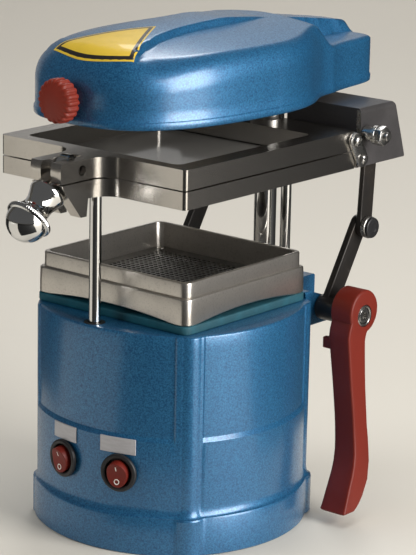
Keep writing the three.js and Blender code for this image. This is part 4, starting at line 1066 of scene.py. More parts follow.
def hole_plate():
    """The perforated plate: square cells side by side, each a ring between the points of its
    square and the eight points of its hole, above and below, joined down the hole's wall. A
    strip runs from the outermost cells' edge to the plate's own outline."""
    t = Sizes("tray")
    low, high = span("perforated_plate")
    pitch, margin, n = t.hole_pitch, 7, 8
    nx, ny = (int((v - margin) * 2 / pitch) for v in high[:2])
    turn = np.arange(n) * TAU / n
    circle = np.c_[np.cos(turn), np.sin(turn)]
    square = circle / np.abs(circle).max(1, keepdims=True) * pitch / 2
    hole = circle * t.hole
    x, y = (v.ravel() for v in np.meshgrid((np.arange(nx) - (nx - 1) / 2) * pitch,
                                           (np.arange(ny) - (ny - 1) / 2) * pitch))
    cell = np.concatenate([level(square, high[2]), level(hole, high[2]),
                           level(hole, low[2]), level(square, low[2])])
    points = cell[None] + np.stack([x, y, 0 * x], -1)[:, None]
    i = np.arange(n)
    j = (i + 1) % n
    quads = np.concatenate([np.stack([i + k, j + k, j + k + n, i + k + n], -1)
                            for k in (0, n, 2 * n)])
    faces = (quads[None] + len(cell) * np.arange(len(x))[:, None, None]).reshape(-1, 4)
    made = Form(points.reshape(-1, 3), faces.tolist())
    half = np.array([nx, ny]) * pitch / 2
    along_x, along_y = (np.linspace(-h, h, 2 * k + 1)[:-1] for h, k in zip(half, (nx, ny)))
    edge = np.concatenate([
        np.c_[along_x, np.full(2 * nx, -half[1])], np.c_[np.full(2 * ny, half[0]), along_y],
        np.c_[-along_x, np.full(2 * nx, half[1])], np.c_[np.full(2 * ny, -half[0]), -along_y]])
    outline = edge * high[:2] / half
    rim = grid(np.array([level(edge, high[2]), level(outline, high[2]), level(outline, low[2]),
                         level(edge, low[2])]), wrap_v=True)
    return made + rim


def tray_casting():
    """The tray: rings of rounded rectangles from the arched foot up both tiers, over the rim,
    down to the plate's seat and along the floor to the suction bore, closed on themselves."""
    t = Sizes("tray")
    low, high = span("model_tray")
    half, floor, top = high[:2], low[2], high[2]
    shoulder, seat = floor + t.lower, span("perforated_plate")[1][2] - 2.1
    steps, sides = 7, 26
    draft, rim_edge, floor_thick, ledge = 0.15, 0.8, 3, 3
    inner, foot_in = t.step + t.wall, 6.5

    def ring(depth, z, lifted=0.0, radius=t.corner):
        """A rounded rectangle. Lifted, the middle of each side rises by a parabola."""
        loop = rectangle(*(depth - half), *(half - depth), radius, steps, sides)
        if lifted:
            x, y = np.abs(loop[:, 0]), np.abs(loop[:, 1])
            front = y > half[1] - t.corner - 3
            along = np.where(front, x / (half[0] - t.arch_end), y / (half[1] - t.arch_end))
            on_side = np.where(front, y, x) > np.where(front, half[1], half[0]) - 1.5 - depth
            z = z + lifted * np.where(on_side, np.maximum(0, 1 - along ** 2), 0)
        return level(loop, z)

    rings = [ring(foot_in, floor, t.arch), ring(0.6, floor, t.arch), ring(0, floor + 0.7, t.arch),
             ring(0, floor + 5.5), ring(draft, shoulder - t.edge)]
    rings += [ring(draft + depth, shoulder - t.edge + rise) for depth, rise in rounding(t.edge)]
    rings += [ring(t.step - 0.35, shoulder), ring(t.step, shoulder + 0.35),
              ring(t.step + 0.1, top - rim_edge)]
    rings += [ring(t.step + 0.1 + depth, top - rim_edge + rise)
              for depth, rise in rounding(rim_edge)]
    rings += [ring(inner - 0.5, top), ring(inner, top - 0.5, radius=4),
              ring(inner, seat, radius=4), ring(inner + ledge, seat, radius=3),
              ring(inner + ledge, floor + floor_thick + 0.4, radius=3),
              ring(inner + ledge + 0.4, floor + floor_thick, radius=3)]
    turns = np.arctan2(rings[0][:, 1], rings[0][:, 0])
    bore = Sizes("base").bore
    rings += [around(turns, bore, floor + floor_thick), around(turns, bore, floor)]
    return grid(np.array(rings), True, True)


class FORMER_OT_tray(bpy.types.Operator):
    """Builds the gasket, the two-tier model tray and its perforated plate"""
    bl_idname = "former.tray"
    bl_label = "Model tray"

    def execute(self, context):
        low, high = span("deck_gasket")
        loop = rectangle(low[0], low[1], high[0], high[1], Sizes("tray").corner)
        bore = bar(Sizes("base").bore, low[2] - 1, high[2] + 1)
        piece("gasket_sheet", shaped(slab(loop, low[2], high[2], 0.9), bore), "teal_rubber",
              "base", ["deck_gasket"])
        piece("tray_casting", tray_casting(), "tray_metal", "base",
              ["model_tray"], sharp=40)
        piece("hole_plate", hole_plate(), "plate_steel", "base",
              ["perforated_plate"], sharp=40)
        x, y, z = span("perforated_plate")[1]
        corner, radius, rise = 4.2, 2.3, 1.2
        head = lathe(np.vstack([[(0, 0)], arc(0, 0, radius, rise, steps=4)]), 24)
        rivets = [head.at(sx * (x - corner), sy * (y - corner), z) for sx, sy in CORNERS]
        piece("plate_rivets", together(rivets), "plain_steel", "base")
        return {"FINISHED"}


# Bracket, post, rods

POST_Y = 90.6    # the main post's axis


def rear_bracket():
    """The block behind the base: hollowed to the base's outline, its upper rear corners
    sloped off and its ends notched, and bored for the post, the rear rod and the shaft."""
    low, high = span("rear_bracket")
    gap, lap, deck, top, above = 0.3, 6, 136.8, 136, 150
    post_room, rod_room, shaft_room = 7.5, 6.3, 5.3
    block = slab(rectangle(low[0], low[1] - lap, high[0], high[1], 2.5), low[2], high[2], 1.6)
    turn = base_turns()
    reach = base_reach(turn) + Sizes("base").proud + gap
    clear = slab(around(turn, reach, 0)[:, :2], 60, deck)
    over = slab(rectangle(-80, 40, 80, 60, 0.1), top, above)
    slope = slab([(63, 140.6), (63, above), (110, above), (110, 124)], 33, 70).sideways()
    notch = slab(rectangle(33, 86, 70, 112, 0.5), 100, above)
    post_y = centre("main_post")[1]
    rod_x, rod_y, _ = centre("rear_guide_rod")
    shaft_y, shaft_z = centre("lever_shaft")[1:]
    bores = [bar(post_room, 119, above).at(0, post_y), bar(rod_room, 100, above).at(rod_x, rod_y),
             bar(shaft_room, -70, 70).sideways().at(0, shaft_y, shaft_z)]
    cuts = [clear, over, slope, slope.mirrored(), notch, notch.mirrored(), *bores]
    piece("bracket_block", shaped(block, *cuts), "hammered_paint", "base",
          ["rear_bracket"], edge=0.3, sharp=40)


def main_post():
    """The thick post and the collar round it."""
    radius, bore, collar, edge = 7.2, 7.5, 12, 0.6
    low, high = (corner[2] for corner in span("main_post"))
    post = lathe([(0, low), (radius - 0.8, low), (radius, low + 0.8), (radius, high - 1),
                  (radius - 1, high), (0, high)], 64)
    piece("post_rod", post.at(0, POST_Y), "chrome_plate", "base", ["main_post"])
    low, high = (corner[2] for corner in span("post_collar"))
    ring = lathe([(bore, low + 0.3), (bore + 0.4, low), (collar - edge, low),
                  (collar, low + edge), (collar, high - edge), (collar - edge, high),
                  (bore, high)], 64, ring=True)
    piece("post_ring", ring.at(0, POST_Y), "plain_steel", "base", ["post_collar"])


def bushes():
    """The two rod bushes and the stepped sleeve that guides the carriage on the post."""
    low, high = (corner[2] for corner in span("rear_rod_bush"))
    bore, tube, head = 3.7, 6, 7
    neck = high - 2
    bush = lathe([(bore + 0.2, low), (tube - 0.4, low), (tube, low + 0.4), (tube, neck),
                  (head, neck), (head, high - 0.5), (head - 0.6, high), (bore + 0.4, high),
                  (bore, high - 0.4), (bore, low + 0.3)], 48, ring=True)
    x, y, _ = centre("rear_guide_rod")
    piece("rear_bush", bush.at(x, y), "bronze", "base", ["rear_rod_bush"])

    low, high = (corner[2] for corner in span("front_rod_bush"))
    bore, tube = 4, 6.3
    bush = lathe([(bore + 0.2, low), (tube - 0.3, low), (tube, low + 0.4), (tube, high - 0.3),
                  (tube - 0.3, high), (bore + 0.4, high), (bore, high - 0.4), (bore, low + 0.2)],
                 48, ring=True)
    piece("front_bush", bush.at(0, centre("front_rod_bush")[1]), "black_steel", "base",
          ["front_rod_bush"])

    low, high = (corner[2] for corner in span("guide_sleeve"))
    split = span("lower_frame")[1][2]
    bore, tube, collar, thick = 7.5, 10.8, 15, 2.6
    sleeve = lathe([(bore, low + 0.5), (bore + 0.5, low), (tube - 0.4, low), (tube, low + 0.5),
                    (tube, split), (collar - 0.5, split), (collar, split + 0.5),
                    (collar, split + thick - 0.5), (collar - 0.5, split + thick),
                    (tube + 0.5, split + thick), (tube, split + thick + 0.6),
                    (tube, high - 0.8), (tube - 0.8, high), (bore + 0.6, high),
                    (bore, high - 0.6)], 64, ring=True)
    piece("sleeve_bush", sleeve.at(0, POST_Y), "plain_steel", "carriage",
          ["guide_sleeve"])


class FORMER_OT_columns(bpy.types.Operator):
    """Builds the rear bracket, the post with its collar, the guide rods, bushes and sleeve"""
    bl_idname = "former.columns"
    bl_label = "Bracket and columns"

    def execute(self, context):
        rear_bracket()
        main_post()
        for name, radius in (("front_guide_rod", 3.7), ("rear_guide_rod", 3.4)):
            low, high = span(name)
            x, y, _ = centre(name)
            rod = bar(radius, low[2], high[2], Sizes("frames").chamfer, 40).at(x, y)
            piece(name.replace("guide", "chrome"), rod, "chrome_plate", "carriage",
                  [name])
        bushes()
        return {"FINISHED"}


# Frames

FRAME_FRONT = 75.4                # the frames' front face, before the axis
EAR_BACK = 0.8 - FRAME_FRONT      # Y to which an ear reaches into its frame
BEFORE_EAR, EAR_CUT = -125, 40    # Y before every ear, and X beyond both its sides


def ear_plan(low, high):
    """The ear from above: two parallel cheeks that flare into the frame's front."""
    f = Sizes("frames")
    flare_x, flare_y = f.ear_half + f.ear_root, -FRAME_FRONT - f.ear_root
    flare = arc(flare_x, flare_y, f.ear_root, f.ear_root, 180, 90, 12)
    right = np.vstack([[(f.ear_half, BEFORE_EAR)], flare, [(flare_x, EAR_BACK)]])
    left = right[::-1] * (-1, 1)
    return slab(np.vstack([right, left]), low, high)


def pin_place():
    """Y and Z of the clamp pin."""
    return centre("clamp_pin")[1:]


def ear_cuts(low, high):
    """The slot for the swing bolt and the pin's bore."""
    half, bore, eye_room = Sizes("frames").slot, 3.1, 0.6
    y, z = pin_place()
    end = y + Sizes("clamp").eye + eye_room
    slot = slab(rectangle(-half, BEFORE_EAR, half, end, 0.4, 3), low, high)
    return slot, bar(bore, -14, 14).sideways().at(0, y, z)


def frame_ring(low, high):
    """A frame's plain ring: its outside less the opening over the heated area."""
    f = Sizes("frames")
    side, back, radius = 73, 87.5, 5
    open_side, open_front, open_back = 60.3, -66.8, 58
    outer = slab(rectangle(-side, -FRAME_FRONT, side, back, f.corner, 8), low, high)
    opening = slab(rectangle(-open_side, open_front, open_side, open_back, radius, 8),
                   low - 1, high + 1)
    return shaped(outer, opening)


def ear_angle(height):
    """Direction from the pin to the ear's round front at a height, in degrees."""
    rise = height - pin_place()[1]
    return 180 - math.degrees(math.asin(rise / Sizes("frames").ear))


def lower_frame(bottom, split):
    """The lower frame: the ring, a tongue round the post, two lugs for the links and an
    ear whose underside follows the clamp bolt, less the sheet's seat and the bores."""
    f, tilt = Sizes("frames"), Sizes("clamp").tilt
    y, z = pin_place()
    tongue = slab(rectangle(-22.5, 70, 22.5, 104, 2.5), bottom, split)
    lugs = [slab(rectangle(left, 80, left + 12, 99.5, 1.5), bottom, split)
            for left in (-69.7, 57.7)]
    front = arc(y, z, f.ear, f.ear, ear_angle(split), 180 + math.degrees(tilt), 14)
    toe_z = bottom - f.ear_drop
    toe_y = front[-1, 0] + (front[-1, 1] - toe_z) * math.tan(tilt)
    toe, toe_root = 5, 6.2
    side = np.vstack([front, [(toe_y, toe_z), (toe_y + toe, toe_z), (toe_y + toe_root, bottom),
                              (EAR_BACK, bottom), (EAR_BACK, split)]])
    ear = common(slab(side, -EAR_CUT, EAR_CUT).sideways(), ear_plan(toe_z - 1, split))
    made = joined(frame_ring(bottom, split), tongue, *lugs, ear)
    seat = slab(rectangle(-63, -67.4, 63, 58.6, 1.2, 3), split - 1.5, split + 1)
    sleeve_room, rear_rod, front_rod, rod_deep = 11.4, 3.7, 4, 8
    bores = [bar(sleeve_room, bottom - 1, split + 1).at(0, POST_Y),
             bar(rear_rod, bottom - 1, bottom + rod_deep).at(18, POST_Y - 1.6),
             bar(front_rod, bottom - 1, bottom + rod_deep).at(0, -70.6)]
    made = shaped(made, seat, *ear_cuts(toe_z - 2, split + 2), *bores)
    piece("lower_frame_casting", made, "cast_metal", "carriage",
          ["lower_frame"], edge=f.edge, sharp=38)


def upper_frame(low, high):
    """The upper frame: the ring and its ear, less a notch round the sleeve."""
    f = Sizes("frames")
    y, z = pin_place()
    side = np.vstack([arc(y, z, f.ear, f.ear, ear_angle(high), ear_angle(low), 12),
                      [(EAR_BACK, low), (EAR_BACK, high)]])
    ear = common(slab(side, -EAR_CUT, EAR_CUT).sideways(), ear_plan(low - 1, high + 1))
    notch = slab(rectangle(-16.6, 74, 16.6, 95, 2), low - 1, high + 1)
    made = shaped(joined(frame_ring(low, high), ear), notch, *ear_cuts(low - 2, high + 2))
    piece("upper_frame_casting", made, "cast_metal", "lid",
          ["upper_frame"], edge=f.edge, sharp=38)


class FORMER_OT_frames(bpy.types.Operator):
    """Builds both clamping frames, the sheet between them and the clamp pin"""
    bl_idname = "former.frames"
    bl_label = "Clamping frames"

    def execute(self, context):
        gap, bottom = 0.3, 217.1
        lower_frame(bottom, span("lower_frame")[1][2] - gap)
        low, high = span("upper_frame")
        upper_frame(low[2] + gap, high[2])
        low, high = span("clamp_pin")
        pin = bar(2.8, low[0] + 2, high[0] - 2, 0.4, 32).sideways().at(0, *pin_place())
        piece("hinge_pin", pin, "black_steel", "lid", ["clamp_pin"])
        low, high = span("forming_sheet")
        film = slab(rectangle(low[0], low[1], high[0], high[1], 1, 3), low[2], high[2], 0.2, 1)
        piece("sheet_film", film, "forming_film", "carriage", ["forming_sheet"])
        return {"FINISHED"}


# Clamp

def at_clamp(form):
    """A form made along +Z, turned about the clamp pin into the clamp's direction."""
    y, z = pin_place()
    return form.turned("X", 90 + math.degrees(Sizes("clamp").tilt)).at(0, y, z)


def swing_bolt(c, seat):
    """The eye round the pin with its stud, and the thread that the knob turns on."""
    half, bore, edge = Sizes("frames").slot - 0.3, 3.1, 0.8
    eye = lathe([(bore, -half + 0.3), (bore + 0.3, -half), (c.eye - edge, -half),
                 (c.eye, -half + edge), (c.eye, half - edge), (c.eye - edge, half),
                 (bore + 0.3, half), (bore, half - 0.3)], 48, ring=True).sideways()
    stud = bar(c.stud, c.eye - 1.5, seat - 3, 0.01, 32)
    piece("swing_bolt_eye", at_clamp(joined(eye, stud)), "chrome_plate", "clamp_bolt",
          ["swing_bolt"], sharp=40)
    screw = thread(c.stud, seat - 4, c.stud_end, c.pitch, 0.3)
    piece("swing_bolt_thread", at_clamp(screw), "plain_steel", "clamp_bolt")


def clamp_knob(c, seat):
    """The knob: its blind bore, collar, waist, knurled rim and dome, turned as one."""
    bore, deep, rim_top, lip, crown, dome_share = 3.3, 19, 22.9, 0.5, 35, 0.885
    foot = [(bore, deep), (bore, 0.4), (bore + 0.4, 0), (c.collar - 1.2, 0),
            (c.collar - 0.2, 0.9), (c.collar, 2), (c.collar - 0.1, 3.6),
            (c.collar - 0.9, 5.0), (9.3, 7.4), (8.5, 10.2), (c.waist, 12.5),
            (9.2, 15.6), (11.2, 18.2), (13.4, 19.8)]
    grip = [(c.rim, z) for z in (20.5, 21.1, 21.7, 22.3)]
    dome = arc(0, rim_top + lip, c.rim * dome_share, crown - rim_top, steps=8)
    profile = np.vstack([[(0, deep)], foot, grip, [(c.rim - 0.6, rim_top)], dome,
                         [(0, crown + lip)]])
    profile[:, 1] += seat
    dents = np.zeros(len(profile))
    dents[1 + len(foot):][:len(grip)] = c.knurl
    knob = lathe(profile, c.knurls * 6, dents=dents, teeth=c.knurls)
    piece("clamp_knob_turned", at_clamp(knob), "chrome_plate", "clamp_nut",
          ["clamp_knob"], sharp=50)


class FORMER_OT_clamp(bpy.types.Operator):
    """Builds the swing bolt with its thread and the knurled clamp knob"""
    bl_idname = "former.clamp"
    bl_label = "Clamp"

    def execute(self, context):
        c = Sizes("clamp")
        seat = Sizes("frames").ear + c.standoff
        swing_bolt(c, seat)
        clamp_knob(c, seat)
        return {"FINISHED"}


# Rear cover, hinge and bolts

HINGE = {"upper": "lid", "lower": "carriage"}    # what each row of hinge screws rides on
SLITS = {"upper": 35, "lower": -20}              # how far their slits are turned


def pan_screw(radius, height, shank, deep, slit):
    """A pan-head screw along +Z from its seat: a shank behind, and a head that rises by a
    quarter of a flattened oval and is slit across."""
    flat_share, edge, slit_deep = 0.6, 0.3, 1.1
    turn = np.linspace(0, math.pi / 2, 6)
    dome = np.c_[radius * np.cos(turn) ** flat_share, 0.5 + (height - 0.5) * np.sin(turn)]
    dome[-1, 0] = 0
    profile = np.vstack([[(0, -deep), (shank - edge, -deep), (shank, edge - deep), (shank, 0),
                          (radius - edge, 0), (radius, edge)], dome])
    groove = slab(rectangle(-radius - 1, -slit / 2, radius + 1, slit / 2, 0.05, 1),
                  height - slit_deep, height + 1)
    return shaped(lathe(profile, 40), groove)


def cover_sheet(bolt, screw):
    """A channel folded from sheet and trimmed to the cheeks' outline, with an apron
    between them that is notched round the sleeve, and holes for bolts and screws."""
    k = Sizes("linkage")
    low, high = span("rear_cover")
    split = span("lower_frame")[1][2]
    side, top, bottom = high[0], high[2], low[2]

    def channel(depth):
        """The fold's outline at a depth into the sheet."""
        x, z, radius = side - depth, top - depth, k.fold - depth
        return fillet([(-x, bottom), (-x, z), (x, z), (x, bottom)], [0, radius, radius, 0],
                      8, closed=False)

    loop = np.vstack([channel(0), channel(k.sheet)[::-1]])
    fold = slab(loop, -high[1] - 1, -80).turned("X", 90)
    front, step, back = 87.8, 91.5, 127
    cheek = fillet([(front, bottom), (high[1], bottom), (back, top + 0.01), (step, top + 0.01),
                    (step, 232), (front, split)], [0.4, 1.0, 1.2, 0.3, 2, 0.6], 5)
    trimmed = common(fold, slab(cheek, -side - 1, side + 1).sideways())
    apron_low, apron_in = 233.5, 0.6
    apron = slab(rectangle(apron_in - side, step, side - apron_in, step + k.sheet, 0.3, 2),
                 apron_low, top - 1)
    notch = bar(15.2, 230, top + 2).at(0, POST_Y)
    bolt_room, screw_room, nut_room = 3.3, 2.3, 4.7
    holes = [to_side(bar(radius, near, far), name).at(0, *place) for name in ("left", "right")
             for radius, near, far, place in ((bolt_room, 65, 78, bolt),
                                              (screw_room, 65, 78, screw),
                                              (nut_room, 60, 69.9, bolt))]
    made = shaped(joined(trimmed, apron), notch, *holes)
    piece("folded_cover", made, "cover_paint", "carriage", ["rear_cover"],
          edge=0.35, sharp=38)


def cover_bolt(side, place):
    """A cover bolt: its stem, a spacer, a pair of washers, and a nut at each end."""
    face = span("rear_cover")[1][0]
    stem, spacer, washer, bore = 3, 4.6, 6, 2.9
    seat = face + 7.5
    washers = lathe([(bore, seat + 0.1), (washer - 0.3, seat + 0.1), (washer, seat + 0.4),
                     (washer, seat + 1.4), (washer - 0.6, seat + 1.6), (washer - 0.1, seat + 1.8),
                     (washer - 0.1, seat + 2.7), (washer - 0.4, seat + 2.9), (bore, seat + 2.9)],
                    40, ring=True)
    whole = together([bar(stem, face - 11, face + 18.3, 0.5, 32),
                      bar(spacer, face + 0.05, seat, 0.5, 40), washers,
                      nut(6.3, seat + 3, seat + 7.9, turn=0.3),
                      nut(3.95, face - 8.2, face - 3.4, turn=0.2)])
    piece(f"cover_bolt_set_{side}", to_side(whole, side).at(0, *place), "plain_steel",
          "carriage", [f"cover_bolt_{side}"], sharp=38)


def hinge_side(side, screws):
    """A hinge plate on the cover's cheek and its two screws."""
    k = Sizes("linkage")
    face = span("rear_cover")[1][0]
    radius, bore, gap, thick, seat = 5.2, 2.3, 0.3, 2, face + 2.6
    plate = slab(stadium(screws["lower"], screws["upper"], radius, 16),
                 face + gap, face + gap + thick, 0.4, 2)
    bores = [bar(bore, face - 1, face + 4).at(*place) for place in screws.values()]
    piece(f"hinge_link_{side}", to_side(shaped(plate, *bores), side), "plain_steel",
          "carriage", [f"hinge_plate_{side}"])
    for row, body in HINGE.items():
        node = f"hinge_screw_{row}_{side}"
        inner_end = min(abs(corner[0]) for corner in span(node))
        screw = pan_screw(k.screw, 2.4, 2, seat - inner_end, k.slit)
        screw = screw.turned("Z", SLITS[row]).at(0, 0, seat)
        piece(f"pan_screw_{row}_{side}", to_side(screw, side).at(0, *screws[row]),
              "plain_steel", body, [node])


class FORMER_OT_cover(bpy.types.Operator):
    """Builds the folded rear cover, its bolts and the lid's hinge plates and screws"""
    bl_idname = "former.cover"
    bl_label = "Rear cover"

    def execute(self, context):
        bolt = centre("cover_bolt_right")[1:]
        screws = {row: centre(f"hinge_screw_{row}_right")[1:] for row in HINGE}
        cover_sheet(bolt, screws["lower"])
        for side in SIDES:
            cover_bolt(side, bolt)
            hinge_side(side, screws)
        return {"FINISHED"}


# Linkage and lever

def crank(side, axis, end):
    """An arm with a round end on a hub that has a set screw's socket."""
    hub_low, hub_high = sorted(abs(corner[0]) for corner in span(f"crank_{side}"))
    arm_low, arm_high, arm_half = 61, 65.5, 6.5
    hub_radius, shaft_room, socket_radius = 7.9, 5.3, 2.1
    arm = slab(stadium(axis, end, arm_half, 16), arm_low, arm_high, Sizes("linkage").edge)
    hub = bar(hub_radius, hub_low, hub_high, 0.7, 56).at(*axis)
    bore = bar(shaft_room, hub_low - 1, hub_high + 1).at(*axis)
    socket_x = 70.6 if side == "right" else (hub_low + arm_low) / 2
    socket = bar(socket_radius, 5, 12, sides=24).turned("Y", 90).turned("Z", -62)
    made = shaped(joined(arm, hub), bore, socket.at(*axis, socket_x))
    piece(f"crank_arm_{side}", to_side(made, side), "black_steel", "lever",
          [f"crank_{side}"], sharp=38)


def lift_link(side, end, top):
    """A lifting link, the knurled bolt and cap at its lower end, and its upper pivot."""
    low, high = (corner[0] for corner in span("lift_link_right"))
    pin, pin_room, half, gap = 4, 4.3, 6.25, 0.3
    link = slab(stadium(end, top, half, 16), low, high, Sizes("linkage").edge)
    eyes = [bar(pin_room, low - 1, high + 1).at(*place) for place in (end, top)]
    piece(f"link_bar_{side}", to_side(shaped(link, *eyes), side), "black_steel", "lift_links",
          [f"lift_link_{side}"])

    seat, head, tall, knurls, knurl = high + gap, 7, 3.5, 28, 0.32
    core = bar(pin, low + gap, seat + 1, 0.4, 32)
    rows = np.array([(0, 0), (head - 0.7, 0), (head - 0.1, 0.4), (head, 0.7), (head, 2.9),
                     (head - 0.1, 3.2), (head - 0.6, tall), (0, tall)])
    dents = np.array([0, 0, 0, knurl, knurl, 0, 0, 0])
    barrel = lathe(rows + (0, seat), knurls * 6, dents=dents, teeth=knurls)
    piece(f"knurled_bolt_{side}", to_side((core + barrel).at(*end), side), "plain_steel",
          "lift_links", [f"link_bolt_{side}"], sharp=38)
    rim, dish, dish_floor = 6.5, 3.6, 5.0
    cap_rows = np.vstack([[(0, 3.55), (rim, 3.55)], arc(rim - 0.9, 4.7, 0.9, 0.85, steps=5),
                          [(dish, 5.55), (dish - 0.4, 5.1), (0, dish_floor)]])
    piece(f"bolt_cap_{side}", to_side(lathe(cap_rows + (0, seat), 48).at(*end), side),
          "black_plastic", "lift_links")

    pivot_low, pivot_high = (corner[0] for corner in span("link_pivot_right"))
    stud = bar(pin, low - 1, pivot_high, 0.2, 32)
    pivot = joined(stud, bar(6, pivot_low, low - gap, 0.6, 40))
    piece(f"pivot_stud_{side}", to_side(pivot, side).at(0, *top), "plain_steel", "carriage",
          [f"link_pivot_{side}"])


class FORMER_OT_linkage(bpy.types.Operator):
    """Builds the lever's shaft, the two cranks with their collars, the links and their bolts"""
    bl_idname = "former.linkage"
    bl_label = "Lifting linkage"

    def execute(self, context):
        low, high = span("lever_shaft")
        axis = centre("lever_shaft")[1:]
        shaft = bar(Sizes("linkage").shaft, low[0], high[0], 0.6, 48)
        shaft = shaped(shaft, nut(2.9, high[0] - 4.5, high[0] + 1))
        piece("shaft_bar", shaft.sideways().at(0, *axis), "plain_steel", "lever",
              ["lever_shaft"])
        end = centre("link_bolt_right")[1:]
        top = centre("link_pivot_right")[1:]
        for side in SIDES:
            crank(side, axis, end)
            lift_link(side, end, top)
        return {"FINISHED"}


def lever_arm():
    """The arm: rounded rectangles at heights from the tip to the hub. Its front and rear
    edges and its two faces run through a few heights each, and the tip draws in."""
    heights = [12, 16, 20, 25, 30, 36, 43, 50, 58, 66, 75, 84, 93, 102, 108, 112, 116, 120,
               124, 127.0]
    tip, widest = 8, 2.2

    def outline(z):
        """The arm's plan at a height."""
        front = np.interp(z, [8, 13, 18, 24, 32, 40, 53, 64, 90, 116, 122, 127],
                          [44.6, 47.1, 49.9, 53.2, 58.2, 61.5, 63.4, 63.4, 61.8, 60.2, 61.5, 64])
        rear = np.interp(
            z, [8, 10, 16, 24.7, 36.6, 49, 64, 78, 98, 112, 117, 122, 127],
            [56.5, 59.2, 65.7, 72.5, 76.4, 77.7, 77.5, 77.2, 77.2, 77.6, 79.2, 83.0, 88.2])
        face_heights = [8, 25, 55, 85, 118, 130]
        inner = np.interp(z, face_heights, [85.6, 84.4, 81, 79, 76.2, 76])
        outer = np.interp(z, face_heights, [104.6, 101.8, 96.6, 94.2, 92.2, 92])
        edge = min(Sizes("linkage").lever_edge, (rear - front) / widest, (outer - inner) / widest)
        return rectangle(inner, front, outer, rear, edge, 5, 4)

    end = outline(tip)
    middle = end.mean(0)
    rounded = [level((end - middle) * part + middle, z)
               for part, z in ((0.8, tip), (0.94, tip + 0.5), (1, tip + 1.3))]
    return skin(rounded + [level(outline(z), z) for z in heights])


class FORMER_OT_lever(bpy.types.Operator):
    """Builds the red lever and its steel bush"""
    bl_idname = "former.lever"
    bl_label = "Lever"

    def execute(self, context):
        k = Sizes("linkage")
        y, z = centre("lever_shaft")[1:]
        inner, outer, past = 76, 92, 96
        e = k.hub_edge
        profile = np.vstack([[(0, inner), (k.hub - 0.6, inner), (k.hub, inner + 0.6)],
                             arc(k.hub - e, outer - e, e, e, steps=4), [(0, outer)]])
        hub = lathe(profile, 72).sideways().at(0, y, z + k.hub / 6)
        nub = slab(rectangle(71.5, 60.9, 80.5, 64.9, 0.8, 3), 107.2, 114.2, 0.6)
        cuts = [bar(radius, start, past).sideways().at(0, y, z)
                for radius, start in ((5.3, 74), (7.1, 87))]
        piece("lever_moulding", shaped(joined(hub, lever_arm(), nub), *cuts), "red_plastic",
              "lever", ["lever_handle"], edge=0.35, sharp=42)
        low, high = (corner[0] for corner in span("lever_bush"))
        bore, radius = 5.3, 6.8
        bush = lathe([(bore, low + 0.3), (bore + 0.3, low), (radius - 0.3, low),
                      (radius, low + 0.3), (radius, high - 0.5), (radius - 0.4, high),
                      (bore + 0.4, high), (bore, high - 0.4)], 56, ring=True)
        piece("lever_ring", bush.sideways().at(0, y, z), "plain_steel", "lever",
              ["lever_bush"])
        return {"FINISHED"}


# Switches and labels

ROCKER_WIDE, ROCKER_LONG = 6.7, 8.0    # half its width and half its length


def rocker_face(v):
    """The rocker's face is dished: it rises by a power of the distance from its middle."""
    low, rise, power = 2.1, 1.5, 1.6
    return low + rise * (np.abs(v) / ROCKER_LONG) ** power


def switch_bezel(side, x):
    """The switch's body behind the panel with its round bezel, hollow for the rocker."""
    body, rim, room, floor = 9.6, 11.7, 9.0, -3.6
    profile = np.vstack([[(0, -17), (body - 0.4, -17), (body, -16.6), (body, 1),
                          (rim - 0.4, 1), (rim, 1.3)], arc(rim - 1, 2.4, 1, 1, steps=4),
                         [(body, 3.4), (room, 3.0), (room, floor), (0, floor)]])
    piece(f"switch_bezel_{side}", bent(lathe(profile, 72), x), "black_plastic", "base",
          [f"switch_body_{side}"], sharp=40)


def switch_rocker(side, x):
    """An oval rocker, rings of its outline drawn in over the dished face, and its marks:
    a bar above for on and a ring below for off."""
    lift, tilt = 1.2, 10
    turn = np.arange(64) * TAU / 64
    u, v = ROCKER_WIDE * np.cos(turn), ROCKER_LONG * np.sin(turn)

    def placed(form):
        return bent(form.turned("X", tilt).at(0, 0, 1.6), x)

    rings = [np.c_[u * part, v * part, np.full(64, z)]
             for part, z in ((0, -2.5), (0.96, -2.5), (1, -2.0))]
    rings += [np.c_[u * part, v * part, rocker_face(v * part) - lower] for part, lower in (
        (1, 0.5), (0.985, 0.15), (0.95, 0), (0.85, 0), (0.7, 0), (0.55, 0), (0.4, 0),
        (0.25, 0), (0.1, 0), (0, 0))]
    made = grid(np.array(rings), wrap_v=True).at(0, 0, lift)
    piece(f"rocker_cap_{side}", placed(made), "rocker_plastic", f"switch_{side}",
          [f"rocker_{side}"], sharp=40)
    thick, half, near, far, ring_place = 0.12, 0.32, 2.6, 5.6, -4.4
    bar_mark = slab(rectangle(-half, near, half, far, 0.2, 2, 6), 0, thick, 0.04, 1)
    ring_mark = lathe([(1.2, 0), (1.75, 0), (1.75, thick), (1.2, thick)], 40, ring=True)
    marks = bar_mark + ring_mark.at(0, ring_place)
    marks.points[:, 2] += rocker_face(marks.points[:, 1]) + lift
    piece(f"rocker_marks_{side}", placed(marks), "mark_paint", f"switch_{side}")


